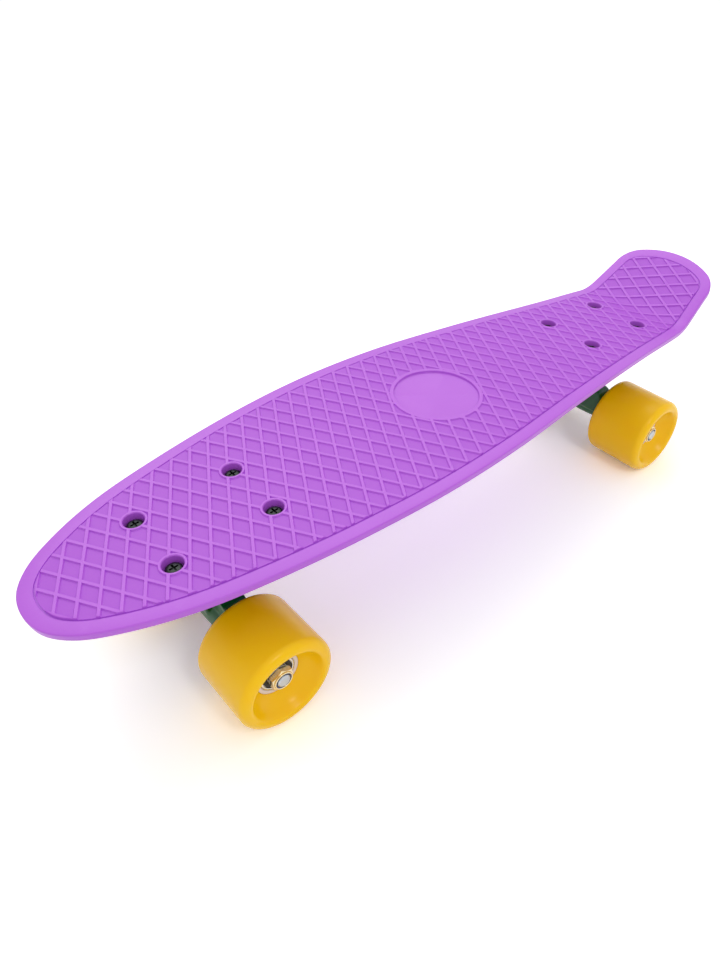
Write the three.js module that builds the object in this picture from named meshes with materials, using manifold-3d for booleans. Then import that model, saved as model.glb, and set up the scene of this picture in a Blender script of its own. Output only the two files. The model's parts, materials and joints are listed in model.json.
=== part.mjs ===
// Cruiser skateboard: a moulded plastic deck on two sprung steering trucks with four wheels.
// Millimetres, +X to the nose, +Y to the left side, +Z up, the wheels stand on z = 0.
import * as THREE from 'three';
import { mergeVertices } from 'three/addons/utils/BufferGeometryUtils.js';
import Module from 'manifold-3d';

const wasm = await Module();
wasm.setup();

const degree = Math.PI / 180;
const quarterTurn = Math.PI / 2;
const halfTurn = Math.PI;
const fullTurn = Math.PI * 2;

// Clearances and helpers of all pieces
const gap = 0.3;
const cutOver = 2;
const curveTolerance = 0.15;
const mergeTolerance = 0.001;

// Deck: side view, measured along its surface from the middle between the trucks
const truckSpread = 344.4;
const padLength = 84;
const padTilt = 3.1 * degree;
const noseReach = 98;
const noseTurn = 3.2 * degree;
const kickSetback = 47;
const kickRadius = 28.9;
const kickAngle = 31 * degree;
const tailReach = 118.4;

// Deck: outline
const deckHalfWidth = 72.1;
const tailHalfWidth = 43.2;
const tailCornerRadius = 22.9;
const tailBackRadius = 66;
const outlineStep = 36;

// Deck: edge, panel and underside, as depths below the rim plane
const panelRise = 0.9;
const panelInset = 8.9;
const panelStep = 0.6;
const rimRound = 2;
const edgeBulge = 1.2;
const edgeDepth = 4.9;
const edgeUndercut = 1.7;
const skirtWidth = 2.6;
const shellDepth = 3.8;
const ribDepth = 11;
const ribWidth = 2.6;
const ribStep = 1;
const ribTop = -shellDepth + gap;
const ribSpacing = 46;
const longRibSpread = 36;
const hullInset = 13;
const padDepth = 13.5;
const padWidth = 60;
const padCornerRadius = 7;
const recessRadius = 27.8;
const recessDepth = 1.6;

// Deck: waffle of sunk rhombic cells between crossing ribs on the raised panel. Only every second
// rib of the real one is here, so that the cells stay few
const ribPitch = 12.05;
const ribsPerCell = 2;
const cellWidth = ribPitch * ribsPerCell;
const cellSharpness = 60 * degree;
const cellLength = cellWidth / Math.tan(cellSharpness / 2);
const cellRib = 2.2;
const cellDepth = 0.9;
const cellBorder = 2.2;
const smallestCell = 60;

// Deck bolts and their lock nuts
const boltSpreadAlong = 60.4;
const boltSpreadAcross = 41.3;
const boltRadius = 2.3;
const boltHoleRadius = 2.7;
const boltHeadRadius = 4.7;
const boltHeadHeight = 2.9;
const boltHeadSink = 4;
const boltTip = 1.6;
const counterboreRadius = 5.7;
const crossLength = 5;
const crossWidth = 1.1;
const crossDepth = 1.5;
const deckNutRadius = 5.4;
const deckNutHeight = 3.8;
const deckNutCollar = 1.5;

// Truck: places seen from the middle of its bolt pattern, +x outboard, z = 0 on the plate's top
const plateThickness = 6;
const plateEndMargin = 8.8;
const plateSideMargin = 7.35;
const plateLength = boltSpreadAlong + plateEndMargin * 2;
const plateWidth = boltSpreadAcross + plateSideMargin * 2;
const plateCornerRadius = 9;
const axleDrop = 54.4;
const axleOffset = 6.6;
const kingpinOffset = 9;
const kingpinLean = 12 * degree;
const pivotOffset = 22;
const pivotDrop = 12;

// Kingpin stack, measured along the kingpin from the plate's top
const kingpinRadius = 4.7;
const kingpinHeadRadius = 7.6;
const kingpinHeadHeight = 5.5;
const kingpinHeadSink = 2.4;
const kingpinTip = 2.2;
const bossRadius = 13;
const bossReach = 14;
const cupRadius = 12.3;
const cupThickness = 1.4;
const cupLip = 1.4;
const cupWasherLipWall = 0.8;
const bushingRadius = 11.6;
const bushingBore = 5.2;
const upperBushingLength = 13;
const lowerBushingLength = 10;
const lowerBushingEndRadius = 9;
const bushingRound = 1.5;
const seatDepth = 1.5;
const seatClearance = 1.2;
const ringRadius = 15;
const ringThickness = 7.4;
const ringBore = 7.4;
const kingpinNutRadius = 8.2;
const kingpinNutHeight = 5.6;
const kingpinNutCollar = 1.9;

// Pivot: a pin on the hanger in a lined socket of the base plate
const pinRadius = 4.8;
const pinReach = 2.5;
const cupWall = 2.2;
const cupBottom = 1.8;
const cupMouth = 6;
const housingWall = 3.8;
const armRadius = 8;
const armLength = 9.6;
const pinTipShare = 0.7;

// Hanger and axle
const hangerHalf = 39.2;
const axleRadius = 3.95;
const axleBoreRadius = 4.35;
const barrelRadius = 8.8;
const barrelEndRadius = 7.2;
const barrelLipRadius = 8.2;
const barrelLip = 3;
const webHalf = 8.5;
const wingTipHalf = 3.6;
const wingInboard = 10.5;
const wingOutboard = 4;
const wingReach = 22;
const wingShoulder = 18.5;
const wingRise = 21.5;
const wingTipShare = 0.8;
const armTopShare = 0.7;
const armBottomShare = 0.9;
const webFootShare = 0.6;
const webRingShare = 0.7;
const webRingSink = 1.8;
const axleTip = 1.4;
const axleChamfer = 0.7;
const washerThickness = 0.8;
const washerRadius = 6.6;
const spacerRadius = 5.2;
const axleNutRadius = 7.3;
const axleNutHeight = 3.6;
const axleNutCollar = 0.9;
const nutCollarShare = 0.8;

// Wheel and its bearings
const wheelRadius = 29.5;
const wheelHalf = 23.5;
const wheelRound = 5;
const wheelFaceRound = 3;
const wheelCupRadius = 22.6;
const hubHalf = 12;
const hubLip = 2.1;
const bearingRadius = 11;
const bearingBore = 4.3;
const bearingWidth = 7;
const bearingRingWall = 1.7;
const bearingShieldSink = 0.6;
const bearingInnerRadius = 6.1;
const shoulderWall = 2;

// Facets round each kind of piece
const recessSides = 32;
const fineSides = 20;
const middleSides = 12;
const smallSides = 10;
const boltSides = 8;
const hexSides = 6;
const cornerSteps = 4;
const plateCornerSteps = 2;
const backSteps = 2;

const purple = { color: 0xb561e0, roughness: 0.38, metalness: 0 };
const yellow = { color: 0xf0b400, roughness: 0.42, metalness: 0 };
const green = { color: 0x0d4a2a, roughness: 0.35, metalness: 0.2 };
const zinc = { color: 0xb9bcc0, roughness: 0.35, metalness: 0.9 };
const brass = { color: 0xb99a55, roughness: 0.35, metalness: 0.9 };
const darkSteel = { color: 0x2a2b2e, roughness: 0.45, metalness: 0.8 };
const rubber = { color: 0x1d1d1f, roughness: 0.7, metalness: 0 };

// Closed geometry with shared vertices and faces that look outward
function cleanGeometry(source) {
  const geometry = new THREE.BufferGeometry();
  geometry.setAttribute('position', source.getAttribute('position').clone());
  if (source.index) geometry.setIndex(source.index.clone());
  const merged = mergeVertices(geometry, mergeTolerance);
  const position = merged.getAttribute('position');
  const index = merged.index.array;
  const corner = [new THREE.Vector3(), new THREE.Vector3(), new THREE.Vector3()];
  const kept = [];
  let volume = 0;
  for (let i = 0; i < index.length; i += 3) {
    const [a, b, c] = [index[i], index[i + 1], index[i + 2]];
    if (a === b || b === c || c === a) continue;
    kept.push(a, b, c);
    [a, b, c].forEach((vertex, k) => corner[k].fromBufferAttribute(position, vertex));
    volume += corner[0].dot(corner[1].clone().cross(corner[2]));
  }
  if (volume < 0) {
    for (let i = 0; i < kept.length; i += 3) [kept[i], kept[i + 1]] = [kept[i + 1], kept[i]];
  }
  merged.setIndex(kept);
  return merged;
}

function solidOf(source, matrix) {
  const geometry = cleanGeometry(source);
  if (matrix) geometry.applyMatrix4(matrix);
  return new wasm.Manifold(new wasm.Mesh({
    numProp: 3,
    vertProperties: new Float32Array(geometry.getAttribute('position').array),
    triVerts: new Uint32Array(geometry.index.array),
  }));
}

function geometryOf(solid) {
  const mesh = solid.getMesh();
  const stride = mesh.numProp;
  const points = [];
  for (let i = 0; i < mesh.vertProperties.length; i += stride) {
    points.push(mesh.vertProperties[i], mesh.vertProperties[i + 1], mesh.vertProperties[i + 2]);
  }
  const geometry = new THREE.BufferGeometry();
  geometry.setAttribute('position', new THREE.Float32BufferAttribute(points, 3));
  geometry.setIndex(Array.from(mesh.triVerts));
  return geometry;
}

function sum(solids) {
  return solids.reduce((whole, solid) => whole.add(solid));
}

function piece(name, geometry, finish) {
  const mesh = new THREE.Mesh(cleanGeometry(geometry), new THREE.MeshStandardMaterial(finish));
  mesh.name = name;
  return mesh;
}

// A revolved solid along +Y from pairs of radius and height that close on themselves or the axis
function revolve(profile, sides) {
  const points = profile.map(([radius, height]) => new THREE.Vector2(radius, height));
  return new THREE.LatheGeometry(points, sides);
}

function rod(radius, from, to, sides) {
  return revolve([[0, from], [radius, from], [radius, to], [0, to]], sides);
}

function tube(bore, radius, from, to, sides) {
  return revolve([[bore, from], [radius, from], [radius, to], [bore, to], [bore, from]], sides);
}

function block(fromX, toX, fromY, toY, fromZ, toZ) {
  const geometry = new THREE.BoxGeometry(toX - fromX, toY - fromY, toZ - fromZ);
  geometry.translate((fromX + toX) / 2, (fromY + toY) / 2, (fromZ + toZ) / 2);
  return geometry;
}

// A plate with round corners, centred on x = y = 0
function roundedPlate(length, width, corner, fromZ, toZ) {
  const [x, y] = [length / 2 - corner, width / 2 - corner];
  const shape = new THREE.Shape();
  shape.absarc(x, y, corner, 0, quarterTurn);
  shape.absarc(-x, y, corner, quarterTurn, halfTurn);
  shape.absarc(-x, -y, corner, halfTurn, halfTurn + quarterTurn);
  shape.absarc(x, -y, corner, halfTurn + quarterTurn, fullTurn);
  const geometry = new THREE.ExtrudeGeometry(shape, {
    depth: toZ - fromZ,
    bevelEnabled: false,
    curveSegments: plateCornerSteps,
  });
  geometry.translate(0, 0, fromZ);
  return geometry;
}

// A flat profile in x and z, given thickness along y, centred on y = 0
function sideProfile(points, half) {
  const shape = new THREE.Shape(points.map(([x, z]) => new THREE.Vector2(x, z)));
  const geometry = new THREE.ExtrudeGeometry(shape, { depth: half * 2, bevelEnabled: false });
  geometry.translate(0, 0, -half);
  geometry.rotateX(quarterTurn);
  return geometry;
}

// A hexagon nut with a round collar along +Y, from height 0
function nut(bore, radius, height, collar) {
  const over = height + collar + cutOver;
  const hex = solidOf(rod(radius, 0, height, hexSides));
  const ring = solidOf(rod(radius * nutCollarShare, height / 2, height + collar, boltSides));
  const hole = solidOf(rod(bore, -cutOver, over, boltSides));
  return geometryOf(hex.add(ring).subtract(hole));
}

// The deck's side view as runs outward from the middle, each with a length and an upward turn
const flatStart = truckSpread / 2 - padLength / 2;
const noseEnd = truckSpread / 2 + noseReach;
const tailEnd = truckSpread / 2 + tailReach;
const kickStart = truckSpread / 2 + kickSetback;
const noseRuns = [
  { length: flatStart, turn: -padTilt },
  { length: padLength, turn: 0 },
  { length: noseEnd - flatStart - padLength, turn: -noseTurn },
];
const kickTurn = padTilt + kickAngle;
const tailRuns = [
  { length: flatStart, turn: -padTilt },
  { length: kickStart - flatStart, turn: 0 },
  { length: kickRadius * kickTurn, turn: kickTurn },
  { length: tailEnd - kickStart - kickRadius * kickTurn, turn: 0 },
];

// Place on the rim plane's surface at a distance along it: positive to the nose
function surfaceAt(distance) {
  const side = distance < 0 ? -1 : 1;
  const runs = distance < 0 ? tailRuns : noseRuns;
  let [along, up, heading, rest] = [0, 0, 0, Math.abs(distance)];
  runs.forEach((run, order) => {
    const last = order === runs.length - 1;
    const step = last ? rest : Math.min(rest, run.length);
    rest -= step;
    if (run.turn === 0) {
      along += step * Math.cos(heading);
      up += step * Math.sin(heading);
      return;
    }
    const radius = run.length / run.turn;
    const next = heading + step / radius;
    along += radius * (Math.sin(next) - Math.sin(heading));
    up += radius * (Math.cos(heading) - Math.cos(next));
    heading = next;
  });
  return { x: side * along, z: up, heading, side };
}

// A chord's middle lies off its arc by the arc's length times its turn, divided by this
const chordsPerSag = 8;

// Distances at which flat pieces get points, so that they follow the curved runs
function bendStations() {
  const stations = [0];
  for (const [side, runs] of [[1, noseRuns], [-1, tailRuns]]) {
    let start = 0;
    for (const run of runs) {
      const sag = run.length * Math.abs(run.turn) / chordsPerSag;
      const parts = Math.max(1, Math.ceil(Math.sqrt(sag / curveTolerance)));
      for (let part = 1; part <= parts; part += 1) {
        stations.push(side * (start + run.length * part / parts));
      }
      start += run.length;
    }
  }
  return stations.sort((a, b) => b - a);
}

// Rib depth beyond the trucks shrinks to this share at the nose and the tail
const endRibShare = 0.4;

function ribShareAt(distance) {
  const end = distance < 0 ? tailEnd : noseEnd;
  const start = truckSpread / 2 + padLength / 2;
  const share = Math.min(1, Math.max(0, (Math.abs(distance) - start) / (end - start)));
  return 1 - (1 - endRibShare) * share;
}

// Moves a point of the flat deck onto its side view
function bentPoint([distance, y, height]) {
  const { x, z, heading, side } = surfaceAt(distance);
  const below = Math.min(0, height + edgeDepth) * (1 - ribShareAt(distance));
  const lift = height - below;
  return [x - side * Math.sin(heading) * lift, y, z + Math.cos(heading) * lift];
}

function bent(geometry) {
  const flat = cleanGeometry(geometry);
  const points = flat.getAttribute('position');
  for (let i = 0; i < points.count; i += 1) {
    points.setXYZ(i, ...bentPoint([points.getX(i), points.getY(i), points.getZ(i)]));
  }
  return flat;
}

// Deck outline of the left half from the nose tip: shares of the nose or tail length and half width
const outlineShares = [
  [1, 0], [0.989, 0.206], [0.952, 0.384], [0.882, 0.548], [0.771, 0.714], [0.611, 0.846],
  [0.408, 0.952], [0.204, 1], [-0.017, 0.973], [-0.24, 0.875], [-0.447, 0.781], [-0.601, 0.717],
  [-0.722, 0.677],
];
const noseSpans = 4;
const fineSteps = 60;

// The side of the outline as closely spaced points of one smooth curve
function sideCurve(cornerX) {
  const control = outlineShares.map(([along, across]) => (
    [along * (along < 0 ? tailEnd : noseEnd), across * deckHalfWidth]));
  control.push([cornerX, tailHalfWidth]);
  const curve = new THREE.CatmullRomCurve3([
    new THREE.Vector3(control[1][0], -control[1][1], 0),
    ...control.map(([x, y]) => new THREE.Vector3(x, y, 0)),
  ], false, 'centripetal');
  const points = [];
  for (let i = fineSteps; i <= control.length * fineSteps; i += 1) {
    points.push(curve.getPoint(i / (control.length * fineSteps)));
  }
  return points;
}

function widthAt(curve, x) {
  const after = curve.findIndex((point) => point.x <= x);
  const [a, b] = [curve[after - 1], curve[after]];
  return a.y + (b.y - a.y) * (a.x - x) / (a.x - b.x);
}

// Left half: the nose by its own curve, the side at the bend's stations, then the tail's round
// corner and its bowed back edge
function halfOutline() {
  const cornerSide = tailHalfWidth - tailCornerRadius;
  const reach = tailBackRadius - tailCornerRadius;
  const cornerX = -tailEnd + tailBackRadius - Math.sqrt(reach ** 2 - cornerSide ** 2);
  const curve = sideCurve(cornerX);
  const points = [[noseEnd, 0]];
  for (let i = 1; i <= noseSpans * 2; i += 1) {
    const { x, y } = curve[i * fineSteps / 2];
    points.push([x, y]);
  }
  const noseSide = points[points.length - 1][0];
  const stations = bendStations().filter((x) => x < noseSide - cutOver && x > cornerX + cutOver);
  const bounds = [noseSide, ...stations, cornerX];
  for (let i = 1; i < bounds.length; i += 1) {
    const parts = Math.ceil((bounds[i - 1] - bounds[i]) / outlineStep);
    for (let part = 1; part <= parts; part += 1) {
      const x = bounds[i - 1] + (bounds[i] - bounds[i - 1]) * part / parts;
      points.push([x, x > cornerX ? widthAt(curve, x) : tailHalfWidth]);
    }
  }
  const meeting = Math.asin(cornerSide / reach);
  for (let i = 1; i <= cornerSteps; i += 1) {
    const angle = quarterTurn - (quarterTurn - meeting) * i / cornerSteps;
    points.push([
      cornerX - tailCornerRadius * Math.cos(angle), cornerSide + tailCornerRadius * Math.sin(angle),
    ]);
  }
  for (let i = 1; i <= backSteps; i += 1) {
    const angle = meeting * (1 - i / backSteps);
    points.push([-tailEnd + tailBackRadius * (1 - Math.cos(angle)), tailBackRadius * Math.sin(angle)]);
  }
  return points;
}

const half = halfOutline();
const outline = [...half, ...half.slice(1, -1).reverse().map(([x, y]) => [x, -y])];

// The outline drawn in by a distance square to itself
function insetOutline(distance) {
  return outline.map(([x, y], i) => {
    const before = outline[(i + outline.length - 1) % outline.length];
    const after = outline[(i + 1) % outline.length];
    const [dx, dy] = [after[0] - before[0], after[1] - before[1]];
    const length = Math.hypot(dx, dy);
    return [x - dy / length * distance, y + dx / length * distance];
  });
}

// A bent solid through rings of the outline, from pairs of inset and height, top to bottom
function deckLoft(rings) {
  const count = outline.length;
  const points = rings.flatMap(([inset, height]) => (
    insetOutline(inset).flatMap(([x, y]) => [x, y, height])));
  const faces = [];
  for (let ring = 0; ring + 1 < rings.length; ring += 1) {
    for (let i = 0; i < count; i += 1) {
      const [a, b] = [ring * count + i, ring * count + (i + 1) % count];
      faces.push(a, a + count, b, b, a + count, b + count);
    }
  }
  const bottom = (rings.length - 1) * count;
  for (let i = 0; i + 1 < half.length; i += 1) {
    const [a, b, c, d] = [i, i + 1, count - i - 1, (count - i) % count];
    faces.push(a, b, c, a, c, d, bottom + c, bottom + b, bottom + a, bottom + d, bottom + c, bottom + a);
  }
  const geometry = new THREE.BufferGeometry();
  geometry.setAttribute('position', new THREE.Float32BufferAttribute(points, 3));
  geometry.setIndex(faces);
  return solidOf(bent(geometry));
}

function deckShell() {
  return deckLoft([
    [panelInset + panelStep, panelRise],
    [panelInset, 0],
    [rimRound, 0],
    [0, -edgeBulge],
    [edgeUndercut, -edgeDepth],
    [edgeUndercut + skirtWidth, -edgeDepth],
    [edgeUndercut + skirtWidth + panelStep, -shellDepth],
  ]);
}

// A rib along the deck, drawn as its side view at the bend's stations
function longRib(y) {
  const stations = bendStations();
  const side = [
    ...stations.map((x) => bentPoint([x, y, ribTop])),
    ...stations.slice().reverse().map((x) => bentPoint([x, y, -ribDepth + ribStep])),
  ].map(([x, , z]) => [x, z]);
  const geometry = sideProfile(side, ribWidth / 2);
  geometry.translate(0, y, 0);
  return solidOf(geometry);
}

function crossRib(x) {
  const [from, to] = [x - ribWidth / 2, x + ribWidth / 2];
  return solidOf(bent(block(from, to, -deckHalfWidth, deckHalfWidth, -ribDepth + ribStep * 2, ribTop)));
}

// Ribs under the shell: a hull rib that follows the outline, long ribs and lower cross ribs inside it
function deckRibs() {
  const inset = hullInset + ribWidth;
  const hull = deckLoft([[hullInset, ribTop], [hullInset, -ribDepth]])
    .subtract(deckLoft([[inset, ribTop + cutOver], [inset, -ribDepth - cutOver]]));
  const inside = deckLoft([[inset - gap, cutOver], [inset - gap, -ribDepth - cutOver]]);
  const ribs = [-longRibSpread / 2, longRibSpread / 2].map(longRib);
  for (let x = -Math.floor(tailEnd / ribSpacing) * ribSpacing; x < noseEnd; x += ribSpacing) {
    ribs.push(crossRib(x));
  }
  return [hull, ...ribs.map((rib) => rib.intersect(inside))];
}

function boltPlaces() {
  return [-1, 1].flatMap((along) => [-1, 1].map((across) => (
    [along * boltSpreadAlong / 2, across * boltSpreadAcross / 2])));
}

function upright(radius, x, y, fromZ, toZ, sides) {
  const geometry = rod(radius, fromZ, toZ, sides);
  geometry.rotateX(quarterTurn);
  geometry.translate(x, y, 0);
  return geometry;
}

// Turns and moves what is drawn round a pad's centre onto the deck, at the front or the rear
function onPad(side) {
  const { x, z, heading } = surfaceAt(side * truckSpread / 2);
  const matrix = new THREE.Matrix4().makeRotationY(-side * heading);
  return matrix.setPosition(x, 0, z);
}

function deckCuts() {
  const above = panelRise + cutOver;
  const cuts = [solidOf(upright(recessRadius, 0, 0, panelRise - recessDepth, above, recessSides))];
  const counterboreFloor = panelRise - boltHeadSink - boltHeadHeight - gap;
  for (const side of [1, -1]) {
    for (const [x, y] of boltPlaces()) {
      const hole = upright(boltHoleRadius, x, y, -padDepth - cutOver, cutOver, boltSides);
      const counterbore = upright(counterboreRadius, x, y, counterboreFloor, above, smallSides);
      cuts.push(solidOf(hole, onPad(side)), solidOf(counterbore, onPad(side)));
    }
  }
  return sum(cuts);
}

function disc(radius, x, y, sides) {
  return wasm.CrossSection.circle(radius, sides).translate([x, y]);
}

// The panel's flat part inside its plain border, without the rings round the recess and the holes
function waffleField() {
  const edge = insetOutline(panelInset + panelStep + cellBorder);
  const discs = [disc(recessRadius + cellBorder, 0, 0, middleSides)];
  for (const side of [1, -1]) {
    for (const [x, y] of boltPlaces()) {
      discs.push(disc(counterboreRadius + cellBorder, side * truckSpread / 2 + x, y, hexSides));
    }
  }
  return wasm.CrossSection.ofPolygons([edge]).subtract(wasm.CrossSection.union(discs));
}

// Middles of the rhombic cells, between ribs that cross on the deck's middle line
function cellPlaces() {
  const rows = Math.ceil(deckHalfWidth * 2 / cellLength);
  const columns = Math.ceil(tailEnd * 2 / cellWidth);
  const places = [];
  for (let row = -rows; row <= rows; row += 1) {
    for (let column = -columns; column <= columns; column += 1) {
      if ((row + column) % 2 !== 0) places.push([column * cellWidth / 2, row * cellLength / 2]);
    }
  }
  return places;
}

function waffleCells() {
  const field = waffleField();
  const halfAlong = cellWidth / 2 - cellRib / 2 / Math.cos(cellSharpness / 2);
  const halfAcross = cellLength / 2 - cellRib / 2 / Math.sin(cellSharpness / 2);
  const rhombus = wasm.CrossSection.ofPolygons([
    [[-halfAlong, 0], [0, -halfAcross], [halfAlong, 0], [0, halfAcross]]]);
  const cells = cellPlaces().map((place) => rhombus.translate(place).intersect(field));
  return wasm.CrossSection.union(cells.filter((cell) => cell.area() > smallestCell));
}

// Cutters for the cells in strips between the bend's stations, each strip bent as the deck is
function waffleCuts() {
  const cells = waffleCells();
  const bounds = [noseEnd, ...bendStations().filter((x) => x < noseEnd && x > -tailEnd), -tailEnd];
  const strips = [];
  for (let i = 1; i < bounds.length; i += 1) {
    const strip = wasm.CrossSection.square([bounds[i - 1] - bounds[i], deckHalfWidth * 2])
      .translate([bounds[i], -deckHalfWidth])
      .intersect(cells);
    if (strip.isEmpty()) continue;
    const cutter = strip.extrude(cellDepth + cutOver).translate([0, 0, panelRise - cellDepth]);
    strips.push(solidOf(bent(geometryOf(cutter))));
  }
  return sum(strips);
}

function deck() {
  const pads = [1, -1].map((side) => solidOf(
    roundedPlate(padLength, padWidth, padCornerRadius, -padDepth, ribTop), onPad(side)));
  const moulded = sum([deckShell(), ...deckRibs(), ...pads]);
  return piece('deck', geometryOf(moulded.subtract(deckCuts()).subtract(waffleCuts())), purple);
}

// Directions and places of the truck's two slanted axes, in its own x and z
const kingpinTop = new THREE.Vector3(-kingpinOffset, 0, 0);
const kingpinWay = new THREE.Vector3(-Math.sin(kingpinLean), 0, -Math.cos(kingpinLean));
const upperCupStart = bossReach + gap;
const upperBushingStart = upperCupStart + cupThickness + gap;
const ringStart = upperBushingStart + upperBushingLength + gap - seatDepth;
const ringEnd = ringStart + ringThickness;
const lowerBushingStart = ringEnd - seatDepth + gap;
const lowerCupStart = lowerBushingStart + lowerBushingLength + gap;
const kingpinNutStart = lowerCupStart + cupThickness + gap;
const kingpinEnd = kingpinNutStart + kingpinNutHeight + kingpinNutCollar + kingpinTip;
const ringCentre = kingpinTop.clone().addScaledVector(kingpinWay, (ringStart + ringEnd) / 2);
const pivotPoint = new THREE.Vector3(pivotOffset, 0, -pivotDrop);
const steerWay = pivotPoint.clone().sub(ringCentre).normalize();
const axlePoint = new THREE.Vector3(axleOffset, 0, -axleDrop);

// Turns a piece that was revolved along +Y so that it runs from a point in a direction
function alongWay(point, way) {
  const turn = new THREE.Quaternion().setFromUnitVectors(new THREE.Vector3(0, 1, 0), way);
  return new THREE.Matrix4().compose(point, turn, new THREE.Vector3(1, 1, 1));
}

const onKingpin = alongWay(kingpinTop, kingpinWay);
const onPivot = alongWay(pivotPoint, steerWay);
const onAxle = new THREE.Matrix4().makeTranslation(axleOffset, 0, -axleDrop);

function placed(name, geometry, finish, matrix) {
  const mesh = piece(name, geometry, finish);
  mesh.applyMatrix4(matrix);
  return mesh;
}

const cupOuter = pinRadius + gap + cupWall;
const cupEnd = pinReach + gap + cupBottom;
const housingRadius = cupOuter + gap + housingWall;

function basePlate(name) {
  const plate = solidOf(roundedPlate(plateLength, plateWidth, plateCornerRadius, -plateThickness, 0));
  const boss = solidOf(rod(bossRadius, 0, bossReach, middleSides), onKingpin);
  const housing = solidOf(revolve([
    [0, -cupMouth], [housingRadius, -cupMouth],
    [housingRadius, cupEnd], [housingRadius - housingWall, cupEnd + housingWall], [0, cupEnd + housingWall],
  ], middleSides), onPivot);
  const above = solidOf(block(-plateLength, plateLength, -plateWidth, plateWidth, 0, plateLength));
  const socket = solidOf(rod(cupOuter + gap, -cupMouth - cutOver, cupEnd + gap, middleSides), onPivot);
  const kingpinHole = solidOf(
    rod(kingpinRadius + gap, -plateThickness, bossReach + cutOver, smallSides), onKingpin);
  const headSeat = kingpinHeadSink + kingpinHeadHeight + gap;
  const headRecess = solidOf(
    rod(kingpinHeadRadius + gap, -plateThickness, headSeat, middleSides), onKingpin);
  const holes = boltPlaces().map(([x, y]) => (
    solidOf(upright(boltHoleRadius, x, y, -plateThickness - cutOver, cutOver, boltSides))));
  const cuts = sum([above, socket, kingpinHole, headRecess, ...holes]);
  const cast = sum([plate, boss, housing]).subtract(cuts);
  return piece(name, geometryOf(cast), green);
}

function pivotCup(name) {
  return placed(name, revolve([
    [0, cupEnd], [cupOuter, cupEnd], [cupOuter, -cupMouth],
    [pinRadius + gap, -cupMouth], [pinRadius + gap, pinReach + gap], [0, pinReach + gap],
  ], middleSides), rubber, onPivot);
}

function kingpin(name) {
  const [headStart, headEnd] = [kingpinHeadSink, kingpinHeadSink + kingpinHeadHeight];
  return placed(name, revolve([
    [0, headStart], [kingpinHeadRadius, headStart], [kingpinHeadRadius, headEnd],
    [kingpinRadius, headEnd], [kingpinRadius, kingpinEnd - axleChamfer],
    [kingpinRadius - axleChamfer, kingpinEnd], [0, kingpinEnd],
  ], boltSides), zinc, onKingpin);
}

function cupWasher(name, start, lipWay) {
  const [back, front] = lipWay > 0 ? [start, start + cupThickness] : [start + cupThickness, start];
  const lipTop = front + cupLip * lipWay;
  return placed(name, revolve([
    [kingpinRadius + gap, back], [cupRadius, back], [cupRadius, lipTop],
    [cupRadius - cupWasherLipWall, lipTop], [cupRadius - cupWasherLipWall, front],
    [kingpinRadius + gap, front], [kingpinRadius + gap, back],
  ], smallSides), zinc, onKingpin);
}

function bushing(name, start, end, startRadius, endRadius) {
  return placed(name, revolve([
    [bushingBore, start], [startRadius - bushingRound, start], [startRadius, start + bushingRound],
    [endRadius, end - bushingRound], [endRadius - bushingRound, end], [bushingBore, end],
    [bushingBore, start],
  ], smallSides), rubber, onKingpin);
}

function kingpinNut(name) {
  const seat = alongWay(kingpinTop.clone().addScaledVector(kingpinWay, kingpinNutStart), kingpinWay);
  const geometry = nut(kingpinRadius + gap, kingpinNutRadius, kingpinNutHeight, kingpinNutCollar);
  return placed(name, geometry, zinc, seat);
}

// The hanger's web in side view, from the bushing ring to the pivot arm and down to the axle
function hangerWeb() {
  const across = new THREE.Vector3(Math.cos(kingpinLean), 0, -Math.sin(kingpinLean));
  const ringEdge = ringCentre.clone().addScaledVector(across, ringRadius - seatDepth);
  const ringTop = ringEdge.clone().addScaledVector(kingpinWay, -ringThickness / 2);
  const steerUp = new THREE.Vector3(-steerWay.z, 0, steerWay.x);
  const armBase = pivotPoint.clone().addScaledVector(steerWay, -cupMouth - armRadius / 2);
  const armTop = armBase.clone().addScaledVector(steerUp, armRadius * armTopShare);
  const armBottom = armBase.clone().addScaledVector(steerUp, -armRadius * armBottomShare);
  const ringBottom = ringCentre.clone().addScaledVector(kingpinWay, ringThickness / 2);
  return sideProfile([
    [ringTop.x, ringTop.z], [armTop.x, armTop.z], [armBottom.x, armBottom.z],
    [axleOffset + barrelRadius, -axleDrop + barrelRadius / 2],
    [axleOffset + barrelRadius / 2, -axleDrop - barrelRadius * webFootShare],
    [axleOffset - barrelRadius / 2, -axleDrop - barrelRadius * webFootShare],
    [axleOffset - barrelRadius, -axleDrop + barrelRadius / 2],
    [ringBottom.x + ringRadius * webRingShare, ringBottom.z - webRingSink],
  ], webHalf);
}

// A flat outline of side and height mirrored across the middle, its last point on the other side
function mirroredShape(half) {
  const points = [...half, ...half.slice().reverse().map(([side, height]) => [-side, height])];
  return new THREE.Shape(points.map(([side, height]) => new THREE.Vector2(side, height)));
}

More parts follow.
